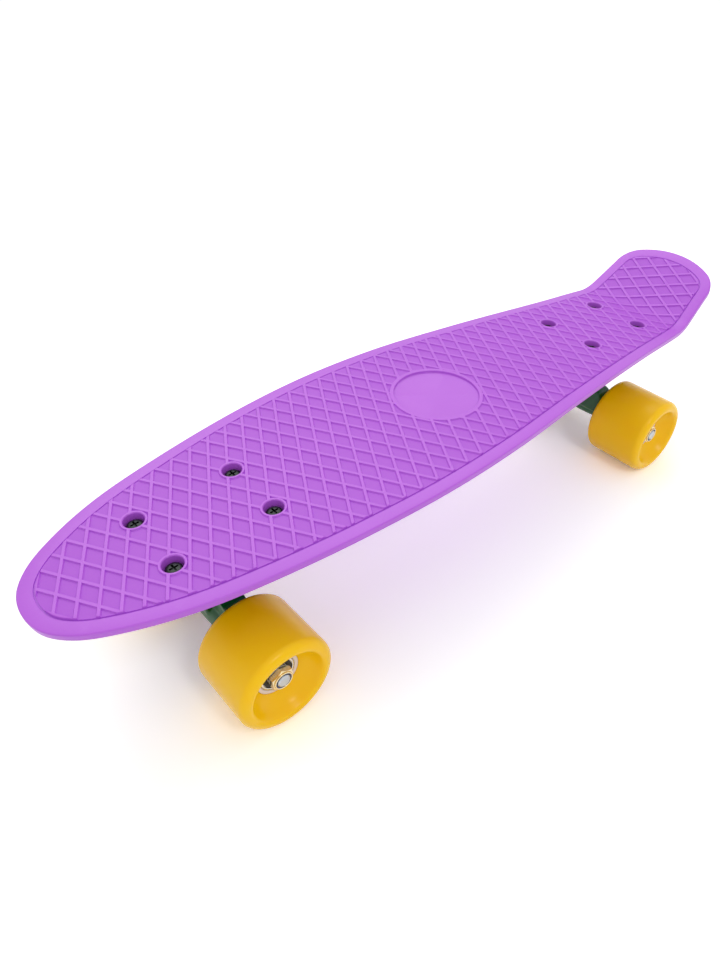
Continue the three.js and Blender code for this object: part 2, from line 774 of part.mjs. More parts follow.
// Wings that carry the barrel's ends: high shoulders at the ring's sides, narrow at the tips
function hangerWings() {
  const [tip, tipRise] = [hangerHalf - barrelLip, barrelEndRadius * wingTipShare];
  const front = mirroredShape([
    [tip, 0], [tip, tipRise], [wingReach, wingShoulder], [webHalf, wingRise],
  ]);
  const thickness = wingInboard + wingOutboard;
  const upright = new THREE.ExtrudeGeometry(front, { depth: thickness, bevelEnabled: false });
  upright.translate(0, 0, -wingInboard);
  upright.rotateX(quarterTurn);
  upright.rotateZ(quarterTurn);
  const above = new THREE.Shape([
    [-wingInboard, -wingReach], [-wingTipHalf, -tip], [wingTipHalf, -tip], [wingOutboard, -wingReach],
    [wingOutboard, wingReach], [wingTipHalf, tip], [-wingTipHalf, tip], [-wingInboard, wingReach],
  ].map(([x, y]) => new THREE.Vector2(x, y)));
  const flat = new THREE.ExtrudeGeometry(above, { depth: wingRise, bevelEnabled: false });
  return solidOf(upright).intersect(solidOf(flat)).transform(onAxle.elements);
}

function hangerBarrel() {
  const side = [
    [barrelRadius, 0], [barrelRadius, webHalf], [barrelEndRadius, hangerHalf - barrelLip * 2],
    [barrelLipRadius, hangerHalf - barrelLip], [barrelLipRadius, hangerHalf],
  ];
  const mirrored = side.slice(1).reverse().map(([radius, y]) => [radius, -y]);
  return revolve([[0, -hangerHalf], ...mirrored, ...side, [0, hangerHalf]], middleSides);
}

function hanger(name) {
  const ring = solidOf(rod(ringRadius, ringStart, ringEnd, fineSides), onKingpin);
  const [armEnd, armShoulder] = [-cupMouth - armLength, -cupMouth - armRadius / 2];
  const pin = solidOf(revolve([
    [0, armEnd], [armRadius, armEnd], [armRadius, armShoulder], [pinRadius, -cupMouth - gap],
    [pinRadius, pinReach - pinRadius / 2], [pinRadius * pinTipShare, pinReach], [0, pinReach],
  ], middleSides), onPivot);
  const cast = sum([
    solidOf(hangerBarrel(), onAxle), solidOf(hangerWeb()), hangerWings(), ring, pin,
  ]);
  const seatRadius = bushingRadius + seatClearance;
  const cuts = sum([
    solidOf(rod(ringBore, ringStart - cutOver, ringEnd + cutOver, middleSides), onKingpin),
    solidOf(rod(seatRadius, upperCupStart, ringStart + seatDepth, middleSides), onKingpin),
    solidOf(rod(seatRadius, ringEnd - seatDepth, kingpinEnd, middleSides), onKingpin),
    solidOf(rod(axleBoreRadius, -hangerHalf - cutOver, hangerHalf + cutOver, smallSides), onAxle),
  ]);
  return piece(name, geometryOf(cast.subtract(cuts)), green);
}

// Wheel place on its axle: the hub's inner face lies behind one speed washer
const innerWasherStart = hangerHalf + gap;
const wheelCentre = innerWasherStart + washerThickness + gap + hubHalf;
const outerWasherStart = wheelCentre + hubHalf + gap;
const axleNutStart = outerWasherStart + washerThickness + gap;
const axleReach = axleNutStart + axleNutHeight + axleTip;

// The axle with its inner speed washers and bearing spacers
function axle(name) {
  const spacerHalf = hubHalf - bearingWidth - gap;
  const side = [
    [axleRadius, innerWasherStart], [washerRadius, innerWasherStart],
    [washerRadius, innerWasherStart + washerThickness], [axleRadius, innerWasherStart + washerThickness],
    [axleRadius, wheelCentre - spacerHalf], [spacerRadius, wheelCentre - spacerHalf],
    [spacerRadius, wheelCentre + spacerHalf], [axleRadius, wheelCentre + spacerHalf],
    [axleRadius, axleReach - axleChamfer], [axleRadius - axleChamfer, axleReach], [0, axleReach],
  ];
  const mirrored = side.slice().reverse().map(([radius, y]) => [radius, -y]);
  return placed(name, revolve([...mirrored, ...side], boltSides), zinc, onAxle);
}

function speedWasher(name, side) {
  const ends = [outerWasherStart, outerWasherStart + washerThickness].map((end) => end * side);
  return placed(name, tube(axleBoreRadius, washerRadius, ends[0], ends[1], boltSides), zinc, onAxle);
}

function axleNut(name, side) {
  const geometry = nut(axleBoreRadius, axleNutRadius, axleNutHeight, axleNutCollar);
  const seat = new THREE.Vector3(axleOffset, axleNutStart * side, -axleDrop);
  return placed(name, geometry, brass, alongWay(seat, new THREE.Vector3(0, side, 0)));
}

// Rounded lip of the tread: shares of its rounding drawn in from the radius and from the face
const wheelLipShares = [[0.75, 0.03], [0.25, 0.34], [0, 1]];

function wheel(name, side) {
  const seatRadius = bearingRadius + gap;
  const shoulder = hubHalf - bearingWidth - gap;
  const outer = [
    [seatRadius + hubLip, hubHalf],
    [(seatRadius + wheelCupRadius) / 2, (hubHalf + wheelHalf) / 2 - hubLip / 2],
    [wheelCupRadius - wheelFaceRound / 2, wheelHalf - wheelFaceRound / 2],
    [wheelCupRadius + wheelFaceRound / 2, wheelHalf],
    ...wheelLipShares.map(([down, back]) => (
      [wheelRadius - wheelRound * down, wheelHalf - wheelRound * back])),
  ];
  const mirrored = outer.slice().reverse().map(([radius, y]) => [radius, -y]);
  const bore = [
    [seatRadius, -hubHalf], [seatRadius, -shoulder], [seatRadius - shoulderWall, -shoulder],
    [seatRadius - shoulderWall, shoulder], [seatRadius, shoulder],
    [seatRadius, hubHalf],
  ];
  const geometry = revolve([...outer, ...mirrored, ...bore, outer[0]], fineSides);
  return placed(name, geometry, yellow, wheelPlace(side));
}

function wheelPlace(side) {
  const centre = new THREE.Vector3(axleOffset, wheelCentre * side, -axleDrop);
  return alongWay(centre, new THREE.Vector3(0, side, 0));
}

// A bearing seen from its open face: outer ring, sunk shield and inner ring
function bearing(name, side, way) {
  const [inside, face] = [hubHalf - bearingWidth, hubHalf].map((end) => end * way);
  const shield = face - bearingShieldSink * way;
  const geometry = revolve([
    [bearingBore, inside], [bearingRadius, inside], [bearingRadius, face],
    [bearingRadius - bearingRingWall, face], [bearingRadius - bearingRingWall, shield],
    [bearingInnerRadius, shield], [bearingInnerRadius, face], [bearingBore, face], [bearingBore, inside],
  ], smallSides);
  return placed(name, geometry, zinc, wheelPlace(side));
}

// Deck bolt from its head's top, sunk in the counterbore, down through the base plate
const padTop = padDepth + gap;
const boltHeadTop = padTop + panelRise - boltHeadSink;
const boltEnd = -plateThickness - gap - deckNutHeight - deckNutCollar - boltTip;

function deckBolt(name, [x, y]) {
  const seat = boltHeadTop - boltHeadHeight;
  const body = solidOf(upright(boltHeadRadius, x, y, seat, boltHeadTop, boltSides))
    .add(solidOf(upright(boltRadius, x, y, boltEnd, seat + gap, hexSides)));
  const [long, short] = [crossLength / 2, crossWidth / 2];
  const cross = [[long, short], [short, long]].map(([halfX, halfY]) => solidOf(
    block(x - halfX, x + halfX, y - halfY, y + halfY, boltHeadTop - crossDepth, boltHeadTop + cutOver)));
  return piece(name, geometryOf(body.subtract(sum(cross))), darkSteel);
}

function deckNut(name, [x, y]) {
  const geometry = nut(boltHoleRadius, deckNutRadius, deckNutHeight, deckNutCollar);
  const seat = new THREE.Vector3(x, y, -plateThickness - gap);
  return placed(name, geometry, zinc, alongWay(seat, new THREE.Vector3(0, 0, -1)));
}

// One truck with its wheels: leftSide is +1 where the truck's own +y is the board's left
function truck(end, leftSide) {
  const group = new THREE.Group();
  const upper = [upperBushingStart, upperBushingStart + upperBushingLength];
  const lower = [lowerBushingStart, lowerBushingStart + lowerBushingLength];
  group.add(
    basePlate(`baseplate_${end}`), pivotCup(`pivot_cup_${end}`), kingpin(`kingpin_${end}`),
    cupWasher(`cup_washer_upper_${end}`, upperCupStart, 1),
    bushing(`bushing_upper_${end}`, ...upper, bushingRadius, bushingRadius),
    hanger(`hanger_${end}`),
    bushing(`bushing_lower_${end}`, ...lower, bushingRadius, lowerBushingEndRadius),
    cupWasher(`cup_washer_lower_${end}`, lowerCupStart, -1),
    kingpinNut(`kingpin_nut_${end}`), axle(`axle_${end}`),
  );
  boltPlaces().forEach((place, i) => {
    group.add(deckBolt(`deck_bolt_${end}_${i + 1}`, place), deckNut(`deck_nut_${end}_${i + 1}`, place));
  });
  for (const [word, side] of [['left', leftSide], ['right', -leftSide]]) {
    group.add(
      wheel(`wheel_${end}_${word}`, side),
      bearing(`bearing_${end}_${word}_inner`, side, -1), bearing(`bearing_${end}_${word}_outer`, side, 1),
      speedWasher(`speed_washer_${end}_${word}`, side), axleNut(`axle_nut_${end}_${word}`, side),
    );
  }
  return group;
}

// Sets a truck under its pad, which is tilted as the deck is there
function truckUnderPad(end, turned) {
  const { x, z, heading } = surfaceAt(truckSpread / 2);
  const group = truck(end, turned ? -1 : 1);
  const drop = padDepth + gap;
  group.position.set(x + Math.sin(heading) * drop, 0, z - Math.cos(heading) * drop);
  group.rotation.y = -heading;
  const holder = new THREE.Group();
  holder.rotation.z = turned ? halfTurn : 0;
  holder.add(group);
  return { holder, group };
}

const board = new THREE.Group();
const front = truckUnderPad('front', false);
const rear = truckUnderPad('rear', true);
board.add(deck(), front.holder, rear.holder);

// The board stands on its wheels, with the origin in the middle of its length
const axleHeight = axlePoint.clone().applyEuler(front.group.rotation).add(front.group.position).z;
const noseTip = surfaceAt(noseEnd);
const tailTip = surfaceAt(-tailEnd);
board.position.set(-(noseTip.x + tailTip.x) / 2, 0, wheelRadius - axleHeight);

export default board;
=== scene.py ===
# Cruiser skateboard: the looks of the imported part. Shapes are drawn in millimetres and put in
# place in metres, +X to the nose, +Y to the left side, +Z up, the wheels on z = 0.
import json
import math

import bmesh
import bpy
from mathutils import Matrix, Vector


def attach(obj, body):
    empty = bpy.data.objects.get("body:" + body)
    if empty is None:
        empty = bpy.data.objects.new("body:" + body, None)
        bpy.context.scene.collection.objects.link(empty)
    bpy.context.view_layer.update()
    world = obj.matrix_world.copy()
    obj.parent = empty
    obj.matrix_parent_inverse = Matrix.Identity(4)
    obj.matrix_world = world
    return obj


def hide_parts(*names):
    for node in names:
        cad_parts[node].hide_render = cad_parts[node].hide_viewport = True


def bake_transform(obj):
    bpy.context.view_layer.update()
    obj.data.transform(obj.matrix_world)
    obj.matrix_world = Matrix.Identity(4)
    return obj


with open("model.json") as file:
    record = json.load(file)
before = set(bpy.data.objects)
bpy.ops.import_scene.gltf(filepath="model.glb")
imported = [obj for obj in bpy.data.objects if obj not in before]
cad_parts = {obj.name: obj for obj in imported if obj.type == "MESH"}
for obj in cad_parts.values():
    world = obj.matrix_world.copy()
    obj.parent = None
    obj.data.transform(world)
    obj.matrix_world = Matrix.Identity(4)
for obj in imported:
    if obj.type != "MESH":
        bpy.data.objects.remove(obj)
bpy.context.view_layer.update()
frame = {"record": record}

METRES = 0.001
DEGREE = math.pi / 180
HALF_TURN = math.pi
FULL_TURN = math.pi * 2
ENDS = ("front", "rear")
# Room between pieces that touch, and the least rise by which an edge counts as upright
GAP = 0.3
HAIR = 0.3
# Colour sockets of the Mix node, whose names it shares with its plain ones
COLOUR_A, COLOUR_B, COLOUR_OUT = 6, 7, 2

# Deck: side view along its surface, outline, and depths below the rim plane
BOARD_PLACE = Vector((6.047, 0, 103.75))
TRUCK_SPREAD = 344.4
PAD_LENGTH = 84
PAD_TILT = 3.1 * DEGREE
NOSE_REACH = 98
NOSE_TURN = 3.2 * DEGREE
KICK_SETBACK = 47
KICK_RADIUS = 28.9
KICK_ANGLE = 31 * DEGREE
TAIL_REACH = 118.4
DECK_HALF_WIDTH = 72.1
TAIL_HALF_WIDTH = 43.2
TAIL_CORNER_RADIUS = 22.9
TAIL_BACK_RADIUS = 66
OUTLINE_SHARES = (
    (1, 0), (0.989, 0.206), (0.952, 0.384), (0.882, 0.548), (0.771, 0.714), (0.611, 0.846),
    (0.408, 0.952), (0.204, 1), (-0.017, 0.973), (-0.24, 0.875), (-0.447, 0.781),
    (-0.601, 0.717), (-0.722, 0.677),
)
PANEL_RISE = 0.9
EDGE_DEPTH = 4.9
CEILING_DEPTH = 3.8
RIB_DEPTH = 11
PAD_DEPTH = 13.5
PAD_WIDTH = 60
RECESS_RADIUS = 27.8
RECESS_DEPTH = 1.6
BOLT_ALONG = 60.4 / 2
BOLT_ACROSS = 41.3 / 2
BOLT_PLACES = [(x, y) for x in (-BOLT_ALONG, BOLT_ALONG) for y in (-BOLT_ACROSS, BOLT_ACROSS)]
BOLT_CENTRES = [(side * TRUCK_SPREAD / 2 + x, y) for side in (1, -1) for x, y in BOLT_PLACES]
BOLT_HOLE_RADIUS = 2.7
WELL_RADIUS = 5.7
WELL_FLOOR = -5.3
SCREW_SINK = 3

# Truck: places round the middle of its bolt pattern, +x outboard, z = 0 on the plate's top
PLATE_THICKNESS = 6
KINGPIN_LEAN = 12 * DEGREE
KINGPIN_TOP = Vector((-9, 0, 0))
KINGPIN_WAY = Vector((-math.sin(KINGPIN_LEAN), 0, -math.cos(KINGPIN_LEAN)))
KINGPIN_RADIUS = 4.7
RING_START, RING_END = 27.8, 35.2
RING_HALF = 3.7
RING_RADIUS = 15
RING_BORE = 7.4
CUSHION_SEAT_RADIUS = 12.8
CUSHION_RADIUS = 11.6
CUP_LIP = 1.4
CUSHION_BORE = 5.2
CUSHION_RING_BORE = 6.6
RING_CENTRE = KINGPIN_TOP + KINGPIN_WAY * (RING_START + RING_END) / 2
PIVOT_POINT = Vector((22, 0, -12))
STEER_WAY = (PIVOT_POINT - RING_CENTRE).normalized()
AXLE_POINT = Vector((6.6, 0, -54.4))
AXLE_BORE = 4.35
HANGER_HALF = 39.2
WHEEL_CENTRE = 52.6

record_bodies = frame["record"]["behaviour"]["bodies"]
body_of = {node: body for body, nodes in record_bodies.items() for node in nodes}


# ---- Meshes ----

def to_mesh(bm, name="shape"):
    mesh = bpy.data.meshes.new(name)
    bm.to_mesh(mesh)
    bm.free()
    return mesh


def from_mesh(mesh):
    bm = bmesh.new()
    bm.from_mesh(mesh)
    bpy.data.meshes.remove(mesh)
    return bm


def evaluated(bm, *modifiers, tools=()):
    """The shape after modifiers, each given as its type and a dict of settings."""
    holder = bpy.data.objects.new("holder", to_mesh(bm))
    bpy.context.scene.collection.objects.link(holder)
    for kind, settings in modifiers:
        modifier = holder.modifiers.new(kind, kind)
        for key, value in settings.items():
            setattr(modifier, key, value)
    bpy.context.view_layer.update()
    result = bpy.data.meshes.new_from_object(
        holder.evaluated_get(bpy.context.evaluated_depsgraph_get()))
    mesh = holder.data
    bpy.data.objects.remove(holder)
    bpy.data.meshes.remove(mesh)
    return from_mesh(result)


def joined(whole, tool, operation):
    """Boolean of two closed shapes: UNION, DIFFERENCE or INTERSECT."""
    other = bpy.data.objects.new("tool", to_mesh(tool))
    bpy.context.scene.collection.objects.link(other)
    settings = {"operation": operation, "object": other, "solver": "MANIFOLD"}
    result = evaluated(whole, ("BOOLEAN", settings))
    mesh = other.data
    bpy.data.objects.remove(other)
    bpy.data.meshes.remove(mesh)
    return result


def gathered(shapes):
    """Several shapes in one, each left as its own closed shell."""
    whole = bmesh.new()
    for shape in shapes:
        mesh = to_mesh(shape)
        whole.from_mesh(mesh)
        bpy.data.meshes.remove(mesh)
    return whole


def turned(bm, matrix):
    """The same shape, moved by a matrix."""
    bmesh.ops.transform(bm, matrix=matrix, verts=bm.verts)
    return bm


def along(point, way):
    """Turns what was drawn about +Z so that it runs from a point in a direction."""
    turn = Vector((0, 0, 1)).rotation_difference(Vector(way))
    return Matrix.Translation(point) @ turn.to_matrix().to_4x4()


def spun(profile, steps=64, corner_steps=3):
    """A revolved solid about +Z from points of radius, height and corner rounding."""
    bm = bmesh.new()
    verts = [bm.verts.new((radius, 0, height)) for radius, height, _ in profile]
    for pair in zip(verts, verts[1:]):
        bm.edges.new(pair)
    if profile[0][0] > 0:
        bm.edges.new((verts[-1], verts[0]))
    for vert, (_, _, rounding) in zip(verts, profile):
        if rounding:
            bmesh.ops.bevel(bm, geom=[vert], offset=rounding, offset_type="OFFSET",
                            segments=corner_steps, profile=0.5, affect="VERTICES", material=-1)
    bmesh.ops.spin(bm, geom=bm.verts[:] + bm.edges[:], cent=(0, 0, 0), axis=(0, 0, 1),
                   angle=FULL_TURN, steps=steps, use_merge=True)
    bmesh.ops.remove_doubles(bm, verts=bm.verts, dist=0.0005)
    bmesh.ops.recalc_face_normals(bm, faces=bm.faces)
    return bm


def mirrored(profile):
    """The other half of a profile that is even about height 0."""
    return [(radius, -height, rounding) for radius, height, rounding in reversed(profile)]


def rod(radius, start, end, steps=48, rounding=0):
    return spun([(0, start, 0), (radius, start, rounding), (radius, end, rounding), (0, end, 0)],
                steps)


def prism(points, bottom, top):
    """An upright solid over a flat outline."""
    bm = bmesh.new()
    face = bm.faces.new([bm.verts.new((x, y, bottom)) for x, y in points])
    raised = bmesh.ops.extrude_face_region(bm, geom=[face])["geom"]
    verts = [item for item in raised if isinstance(item, bmesh.types.BMVert)]
    bmesh.ops.translate(bm, verts=verts, vec=(0, 0, top - bottom))
    bmesh.ops.recalc_face_normals(bm, faces=bm.faces)
    return bm


def bevelled(bm, offset, segments=3, sharper=30):
    edges = [edge for edge in bm.edges
             if edge.is_manifold and edge.calc_face_angle(0) > sharper * DEGREE]
    bmesh.ops.bevel(bm, geom=edges, offset=offset, offset_type="OFFSET", segments=segments,
                    profile=0.5, affect="EDGES", clamp_overlap=True, material=-1)
    return bm


def block(length, width, height, centre):
    bm = bmesh.new()
    bmesh.ops.create_cube(bm, size=1)
    bmesh.ops.scale(bm, verts=bm.verts, vec=(length, width, height))
    bmesh.ops.translate(bm, verts=bm.verts, vec=centre)
    return bm


def upright_edges(bm):
    return [edge for edge in bm.edges if abs((edge.verts[0].co - edge.verts[1].co).z) > HAIR]


def rounded_plate(length, width, corner, bottom, top, rounding):
    """A plate with round corners and softened top and bottom edges."""
    bm = block(length, width, top - bottom, (0, 0, (top + bottom) / 2))
    bmesh.ops.bevel(bm, geom=upright_edges(bm), offset=corner, offset_type="OFFSET", segments=8,
                    profile=0.5, affect="EDGES", material=-1)
    flat = [edge for edge in bm.edges
            if abs(edge.verts[0].co.z - edge.verts[1].co.z) < HAIR
            and edge.calc_face_angle(0) > 1]
    bmesh.ops.bevel(bm, geom=flat, offset=rounding, offset_type="OFFSET", segments=3,
                    profile=0.5, affect="EDGES", material=-1)
    return bm


def cast(shapes, voxel, smoothing):
    """Overlapping shapes run together with the soft inner corners of a casting."""
    return evaluated(gathered(shapes),
                     ("REMESH", {"mode": "VOXEL", "voxel_size": voxel}),
                     ("SMOOTH", {"factor": 0.5, "iterations": smoothing}))


def piece(name, parts, nodes, place=None, sharper=34, bends=None):
    """A finished piece from pairs of shape and material, in place of CAD nodes on one body.
    bends names a second body, with the levels between which the piece would bend to it; these are
    not used, and a piece given them keeps its place baked in and goes on no body."""
    mesh = bpy.data.meshes.new(name)
    whole = bmesh.new()
    for index, (shape, material) in enumerate(parts):
        mesh.materials.append(material)
        for face in shape.faces:
            face.material_index = index
            face.smooth = True
        part_mesh = to_mesh(shape)
        whole.from_mesh(part_mesh)
        bpy.data.meshes.remove(part_mesh)
    matrix = Matrix.Scale(METRES, 4) @ (place or Matrix.Identity(4))
    bmesh.ops.transform(whole, matrix=matrix, verts=whole.verts)
    whole.to_mesh(mesh)
    whole.free()
    mesh.set_sharp_from_angle(angle=sharper * DEGREE)
    made = bpy.data.objects.new(name, mesh)
    bpy.context.scene.collection.objects.link(made)
    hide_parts(*nodes)
    if bends:
        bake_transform(made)
    else:
        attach(made, body_of[nodes[0]])
    return made


# ---- Materials ----

def linear(colour):
    """An sRGB hex value as the linear colour that the shader takes."""
    parts = [int(colour[i:i + 2], 16) / 255 for i in (1, 3, 5)]
    return [c / 12.92 if c <= 0.04045 else ((c + 0.055) / 1.055) ** 2.4 for c in parts] + [1]


def per_mm(size):
    """Texture scale, in metres of object space, of a feature of this size in millimetres."""
    return 1 / (size * METRES)


def add(material, kind, inputs=None, **settings):
    """One node with its settings, and its inputs given as values or as sockets to link."""
    made = material.node_tree.nodes.new(kind)
    for key, value in settings.items():
        setattr(made, key, value)
    for key, value in (inputs or {}).items():
        if isinstance(value, bpy.types.NodeSocket):
            material.node_tree.links.new(value, made.inputs[key])
        else:
            made.inputs[key].default_value = value
    return made


def surface(name, inputs):
    """A material with one Principled BSDF that the caller gives its patterns."""
    material = bpy.data.materials.new(name)
    material.use_nodes = True
    shader = material.node_tree.nodes["Principled BSDF"]
    for key, value in inputs.items():
        shader.inputs[key].default_value = value
    return material, shader


def link(material, socket, target):
    material.node_tree.links.new(socket, target)


def moulded_polypropylene():
    """Injection moulded polypropylene off a tool with a fine spark-erosion texture: a satin sheen
    over a dense, slightly see-through purple, with the faint long waves of cooling, and painted
    shade on the cells' floors."""
    material, shader = surface("moulded_polypropylene_purple", {
        "IOR": 1.49, "Subsurface Weight": 0.06, "Subsurface Scale": 0.001,
    })
    shader.inputs["Subsurface Radius"].default_value = (1.6, 0.6, 2.2)
    space = add(material, "ShaderNodeTexCoord").outputs["Object"]
    clouds = add(material, "ShaderNodeTexNoise",
                 {"Vector": space, "Scale": per_mm(38), "Detail": 2.0})
    tone = add(material, "ShaderNodeMix",
               {"Factor": clouds.outputs["Fac"], COLOUR_A: linear("#B358D7"),
                COLOUR_B: linear("#BB60DD")}, data_type="RGBA")
    # Painted shade: the cells' floors are coloured darker for the shade in these hollows. They
    # also take a coarser erosion than the ribs, which feet and hands polish
    floors = add(material, "ShaderNodeAttribute", attribute_name="shade_and_erosion").outputs["Fac"]
    floor_shade = add(material, "ShaderNodeMix",
               {"Factor": floors, COLOUR_A: tone.outputs[COLOUR_OUT],
                COLOUR_B: linear("#AE52D3")}, data_type="RGBA")
    link(material, floor_shade.outputs[COLOUR_OUT], shader.inputs["Base Color"])
    dull = add(material, "ShaderNodeMapRange", {"Value": floors, "To Min": 0.34, "To Max": 0.48})
    link(material, dull.outputs["Result"], shader.inputs["Roughness"])
    # Eroded grain of a third of a millimetre, and cooling waves of about 26 mm
    grain = add(material, "ShaderNodeTexNoise",
                {"Vector": space, "Scale": per_mm(0.34), "Detail": 3.0, "Roughness": 0.6})
    waves = add(material, "ShaderNodeTexNoise", {"Vector": space, "Scale": per_mm(26)})
    fine = add(material, "ShaderNodeBump",
               {"Height": grain.outputs["Fac"], "Strength": 0.22, "Distance": 0.00003})
    broad = add(material, "ShaderNodeBump", {
        "Height": waves.outputs["Fac"], "Strength": 0.25, "Distance": 0.0004,
        "Normal": fine.outputs["Normal"],
    })
    link(material, broad.outputs["Normal"], shader.inputs["Normal"])
    return material


def cast_polyurethane():
    """Poured polyurethane from a polished mould: smooth, softly glossy, light runs a little way
    into the yellow so that edges glow and shade stays warm."""
    material, shader = surface("cast_polyurethane_yellow", {
        "Roughness": 0.26, "IOR": 1.5, "Specular IOR Level": 0.25, "Subsurface Weight": 0.15,
        "Subsurface Scale": 0.0012,
    })
    shader.inputs["Subsurface Radius"].default_value = (2.4, 1.5, 0.3)
    space = add(material, "ShaderNodeTexCoord").outputs["Object"]
    clouds = add(material, "ShaderNodeTexNoise",
                 {"Vector": space, "Scale": per_mm(14), "Detail": 2.0})
    tone = add(material, "ShaderNodeMix",
               {"Factor": clouds.outputs["Fac"], COLOUR_A: linear("#FFC400"),
                COLOUR_B: linear("#FFCC00")}, data_type="RGBA")
    link(material, tone.outputs[COLOUR_OUT], shader.inputs["Base Color"])
    # Mould polish marks of half a millimetre
    marks = add(material, "ShaderNodeTexNoise",
                {"Vector": space, "Scale": per_mm(0.5), "Detail": 2.0})
    bump = add(material, "ShaderNodeBump",
               {"Height": marks.outputs["Fac"], "Strength": 0.15, "Distance": 0.00003})
    link(material, bump.outputs["Normal"], shader.inputs["Normal"])
    return material


def enamelled_aluminium():
    """Cast aluminium under glossy stoved enamel: deep green with the orange peel of a sprayed
    coat, and pale reflections on edges that the light grazes."""
    material, shader = surface("stoved_enamel_green", {
        "Roughness": 0.34, "IOR": 1.5, "Specular IOR Level": 0.35, "Coat Weight": 0.25,
        "Coat Roughness": 0.08,
    })
    space = add(material, "ShaderNodeTexCoord").outputs["Object"]
    thickness = add(material, "ShaderNodeTexNoise",
                    {"Vector": space, "Scale": per_mm(9), "Detail": 3.0})
    tone = add(material, "ShaderNodeMix",
               {"Factor": thickness.outputs["Fac"], COLOUR_A: linear("#004F1F"),
                COLOUR_B: linear("#066028")}, data_type="RGBA")
    link(material, tone.outputs[COLOUR_OUT], shader.inputs["Base Color"])
    # Orange peel of 1.4 mm
    peel = add(material, "ShaderNodeTexNoise",
               {"Vector": space, "Scale": per_mm(1.4), "Detail": 1.0})
    bump = add(material, "ShaderNodeBump",
               {"Height": peel.outputs["Fac"], "Strength": 0.35, "Distance": 0.00012})
    link(material, bump.outputs["Normal"], shader.inputs["Normal"])
    return material


def plated_steel(name, dark, light, roughness, patch):
    """Steel parts with a thin plating: the tint drifts in patches with the plating's
    thickness, and fine tumbling marks break the shine."""
    material, shader = surface(name, {"Metallic": 1.0})
    space = add(material, "ShaderNodeTexCoord").outputs["Object"]
    clouds = add(material, "ShaderNodeTexNoise",
                 {"Vector": space, "Scale": per_mm(patch), "Detail": 3.0})
    tone = add(material, "ShaderNodeMix",
               {"Factor": clouds.outputs["Fac"], COLOUR_A: linear(dark),
                COLOUR_B: linear(light)}, data_type="RGBA")
    link(material, tone.outputs[COLOUR_OUT], shader.inputs["Base Color"])
    # Tumbling marks of 0.4 mm
    marks = add(material, "ShaderNodeTexNoise",
                {"Vector": space, "Scale": per_mm(0.4), "Detail": 2.0})
    spread = add(material, "ShaderNodeMapRange",
                 {"Value": marks.outputs["Fac"], "To Min": roughness * 0.8,
                  "To Max": roughness * 1.25})
    link(material, spread.outputs["Result"], shader.inputs["Roughness"])
    bump = add(material, "ShaderNodeBump",
               {"Height": marks.outputs["Fac"], "Strength": 0.2, "Distance": 0.00002})
    link(material, bump.outputs["Normal"], shader.inputs["Normal"])
    return material


def moulded_rubber(name, dark, light, roughness):
    """Moulded rubber or nylon: dull, with a fine even grain."""
    material, shader = surface(name, {"Roughness": roughness, "IOR": 1.5})
    space = add(material, "ShaderNodeTexCoord").outputs["Object"]
    grain = add(material, "ShaderNodeTexNoise",
                {"Vector": space, "Scale": per_mm(0.6), "Detail": 3.0})
    tone = add(material, "ShaderNodeMix",
               {"Factor": grain.outputs["Fac"], COLOUR_A: linear(dark),
                COLOUR_B: linear(light)}, data_type="RGBA")
    link(material, tone.outputs[COLOUR_OUT], shader.inputs["Base Color"])
    bump = add(material, "ShaderNodeBump",
               {"Height": grain.outputs["Fac"], "Strength": 0.3, "Distance": 0.00005})
    link(material, bump.outputs["Normal"], shader.inputs["Normal"])
    return material


PURPLE = moulded_polypropylene()
YELLOW = cast_polyurethane()
GREEN = enamelled_aluminium()
BRIGHT_ZINC = plated_steel("bright_zinc_plated_steel", "#AEB3BA", "#C9CCD1", 0.3, 6)
YELLOW_ZINC = plated_steel("yellow_zinc_plated_steel", "#D9C493", "#F0E3C2", 0.22, 4)
GROUND_STEEL = plated_steel("ground_bearing_steel", "#C6C8CC", "#DADCDF", 0.16, 5)
BLACK_STEEL = plated_steel("blackened_screw_steel", "#2E3331", "#434845", 0.4, 3)
RUBBER = moulded_rubber("moulded_rubber_black", "#17171A", "#242427", 0.62)
NYLON = moulded_rubber("nylon_insert_blue", "#2B3F6E", "#364C80", 0.38)
CORE_NYLON = moulded_rubber("moulded_core_nylon_white", "#E6D8D2", "#EEE3DE", 0.4)


# ---- Deck ----

FLAT_START = TRUCK_SPREAD / 2 - PAD_LENGTH / 2
NOSE_END = TRUCK_SPREAD / 2 + NOSE_REACH
TAIL_END = TRUCK_SPREAD / 2 + TAIL_REACH
KICK_START = TRUCK_SPREAD / 2 + KICK_SETBACK
KICK_TURN = PAD_TILT + KICK_ANGLE
NOSE_RUNS = ((FLAT_START, -PAD_TILT), (PAD_LENGTH, 0),
             (NOSE_END - FLAT_START - PAD_LENGTH, -NOSE_TURN))
TAIL_RUNS = ((FLAT_START, -PAD_TILT), (KICK_START - FLAT_START, 0),
             (KICK_RADIUS * KICK_TURN, KICK_TURN),
             (TAIL_END - KICK_START - KICK_RADIUS * KICK_TURN, 0))


def surface_at(distance):
    """Place, heading and side of the rim plane at a distance along it, positive to the nose."""
    side = -1 if distance < 0 else 1
    runs = TAIL_RUNS if distance < 0 else NOSE_RUNS
    x = z = heading = 0.0
    rest = abs(distance)
    for order, (length, turn) in enumerate(runs):
        step = rest if order == len(runs) - 1 else min(rest, length)
        rest -= step
        if turn == 0:
            x += step * math.cos(heading)
            z += step * math.sin(heading)
            continue
        radius = length / turn
        ahead = heading + step / radius
        x += radius * (math.sin(ahead) - math.sin(heading))
        z += radius * (math.cos(heading) - math.cos(ahead))
        heading = ahead
    return side * x, z, heading, side


def rib_share(distance):
    """Ribs keep this share of their depth; they run out towards the nose and the tail."""
    end = TAIL_END if distance < 0 else NOSE_END
    start = TRUCK_SPREAD / 2 + PAD_LENGTH / 2
    return 1 - 0.6 * min(1, max(0, (abs(distance) - start) / (end - start)))


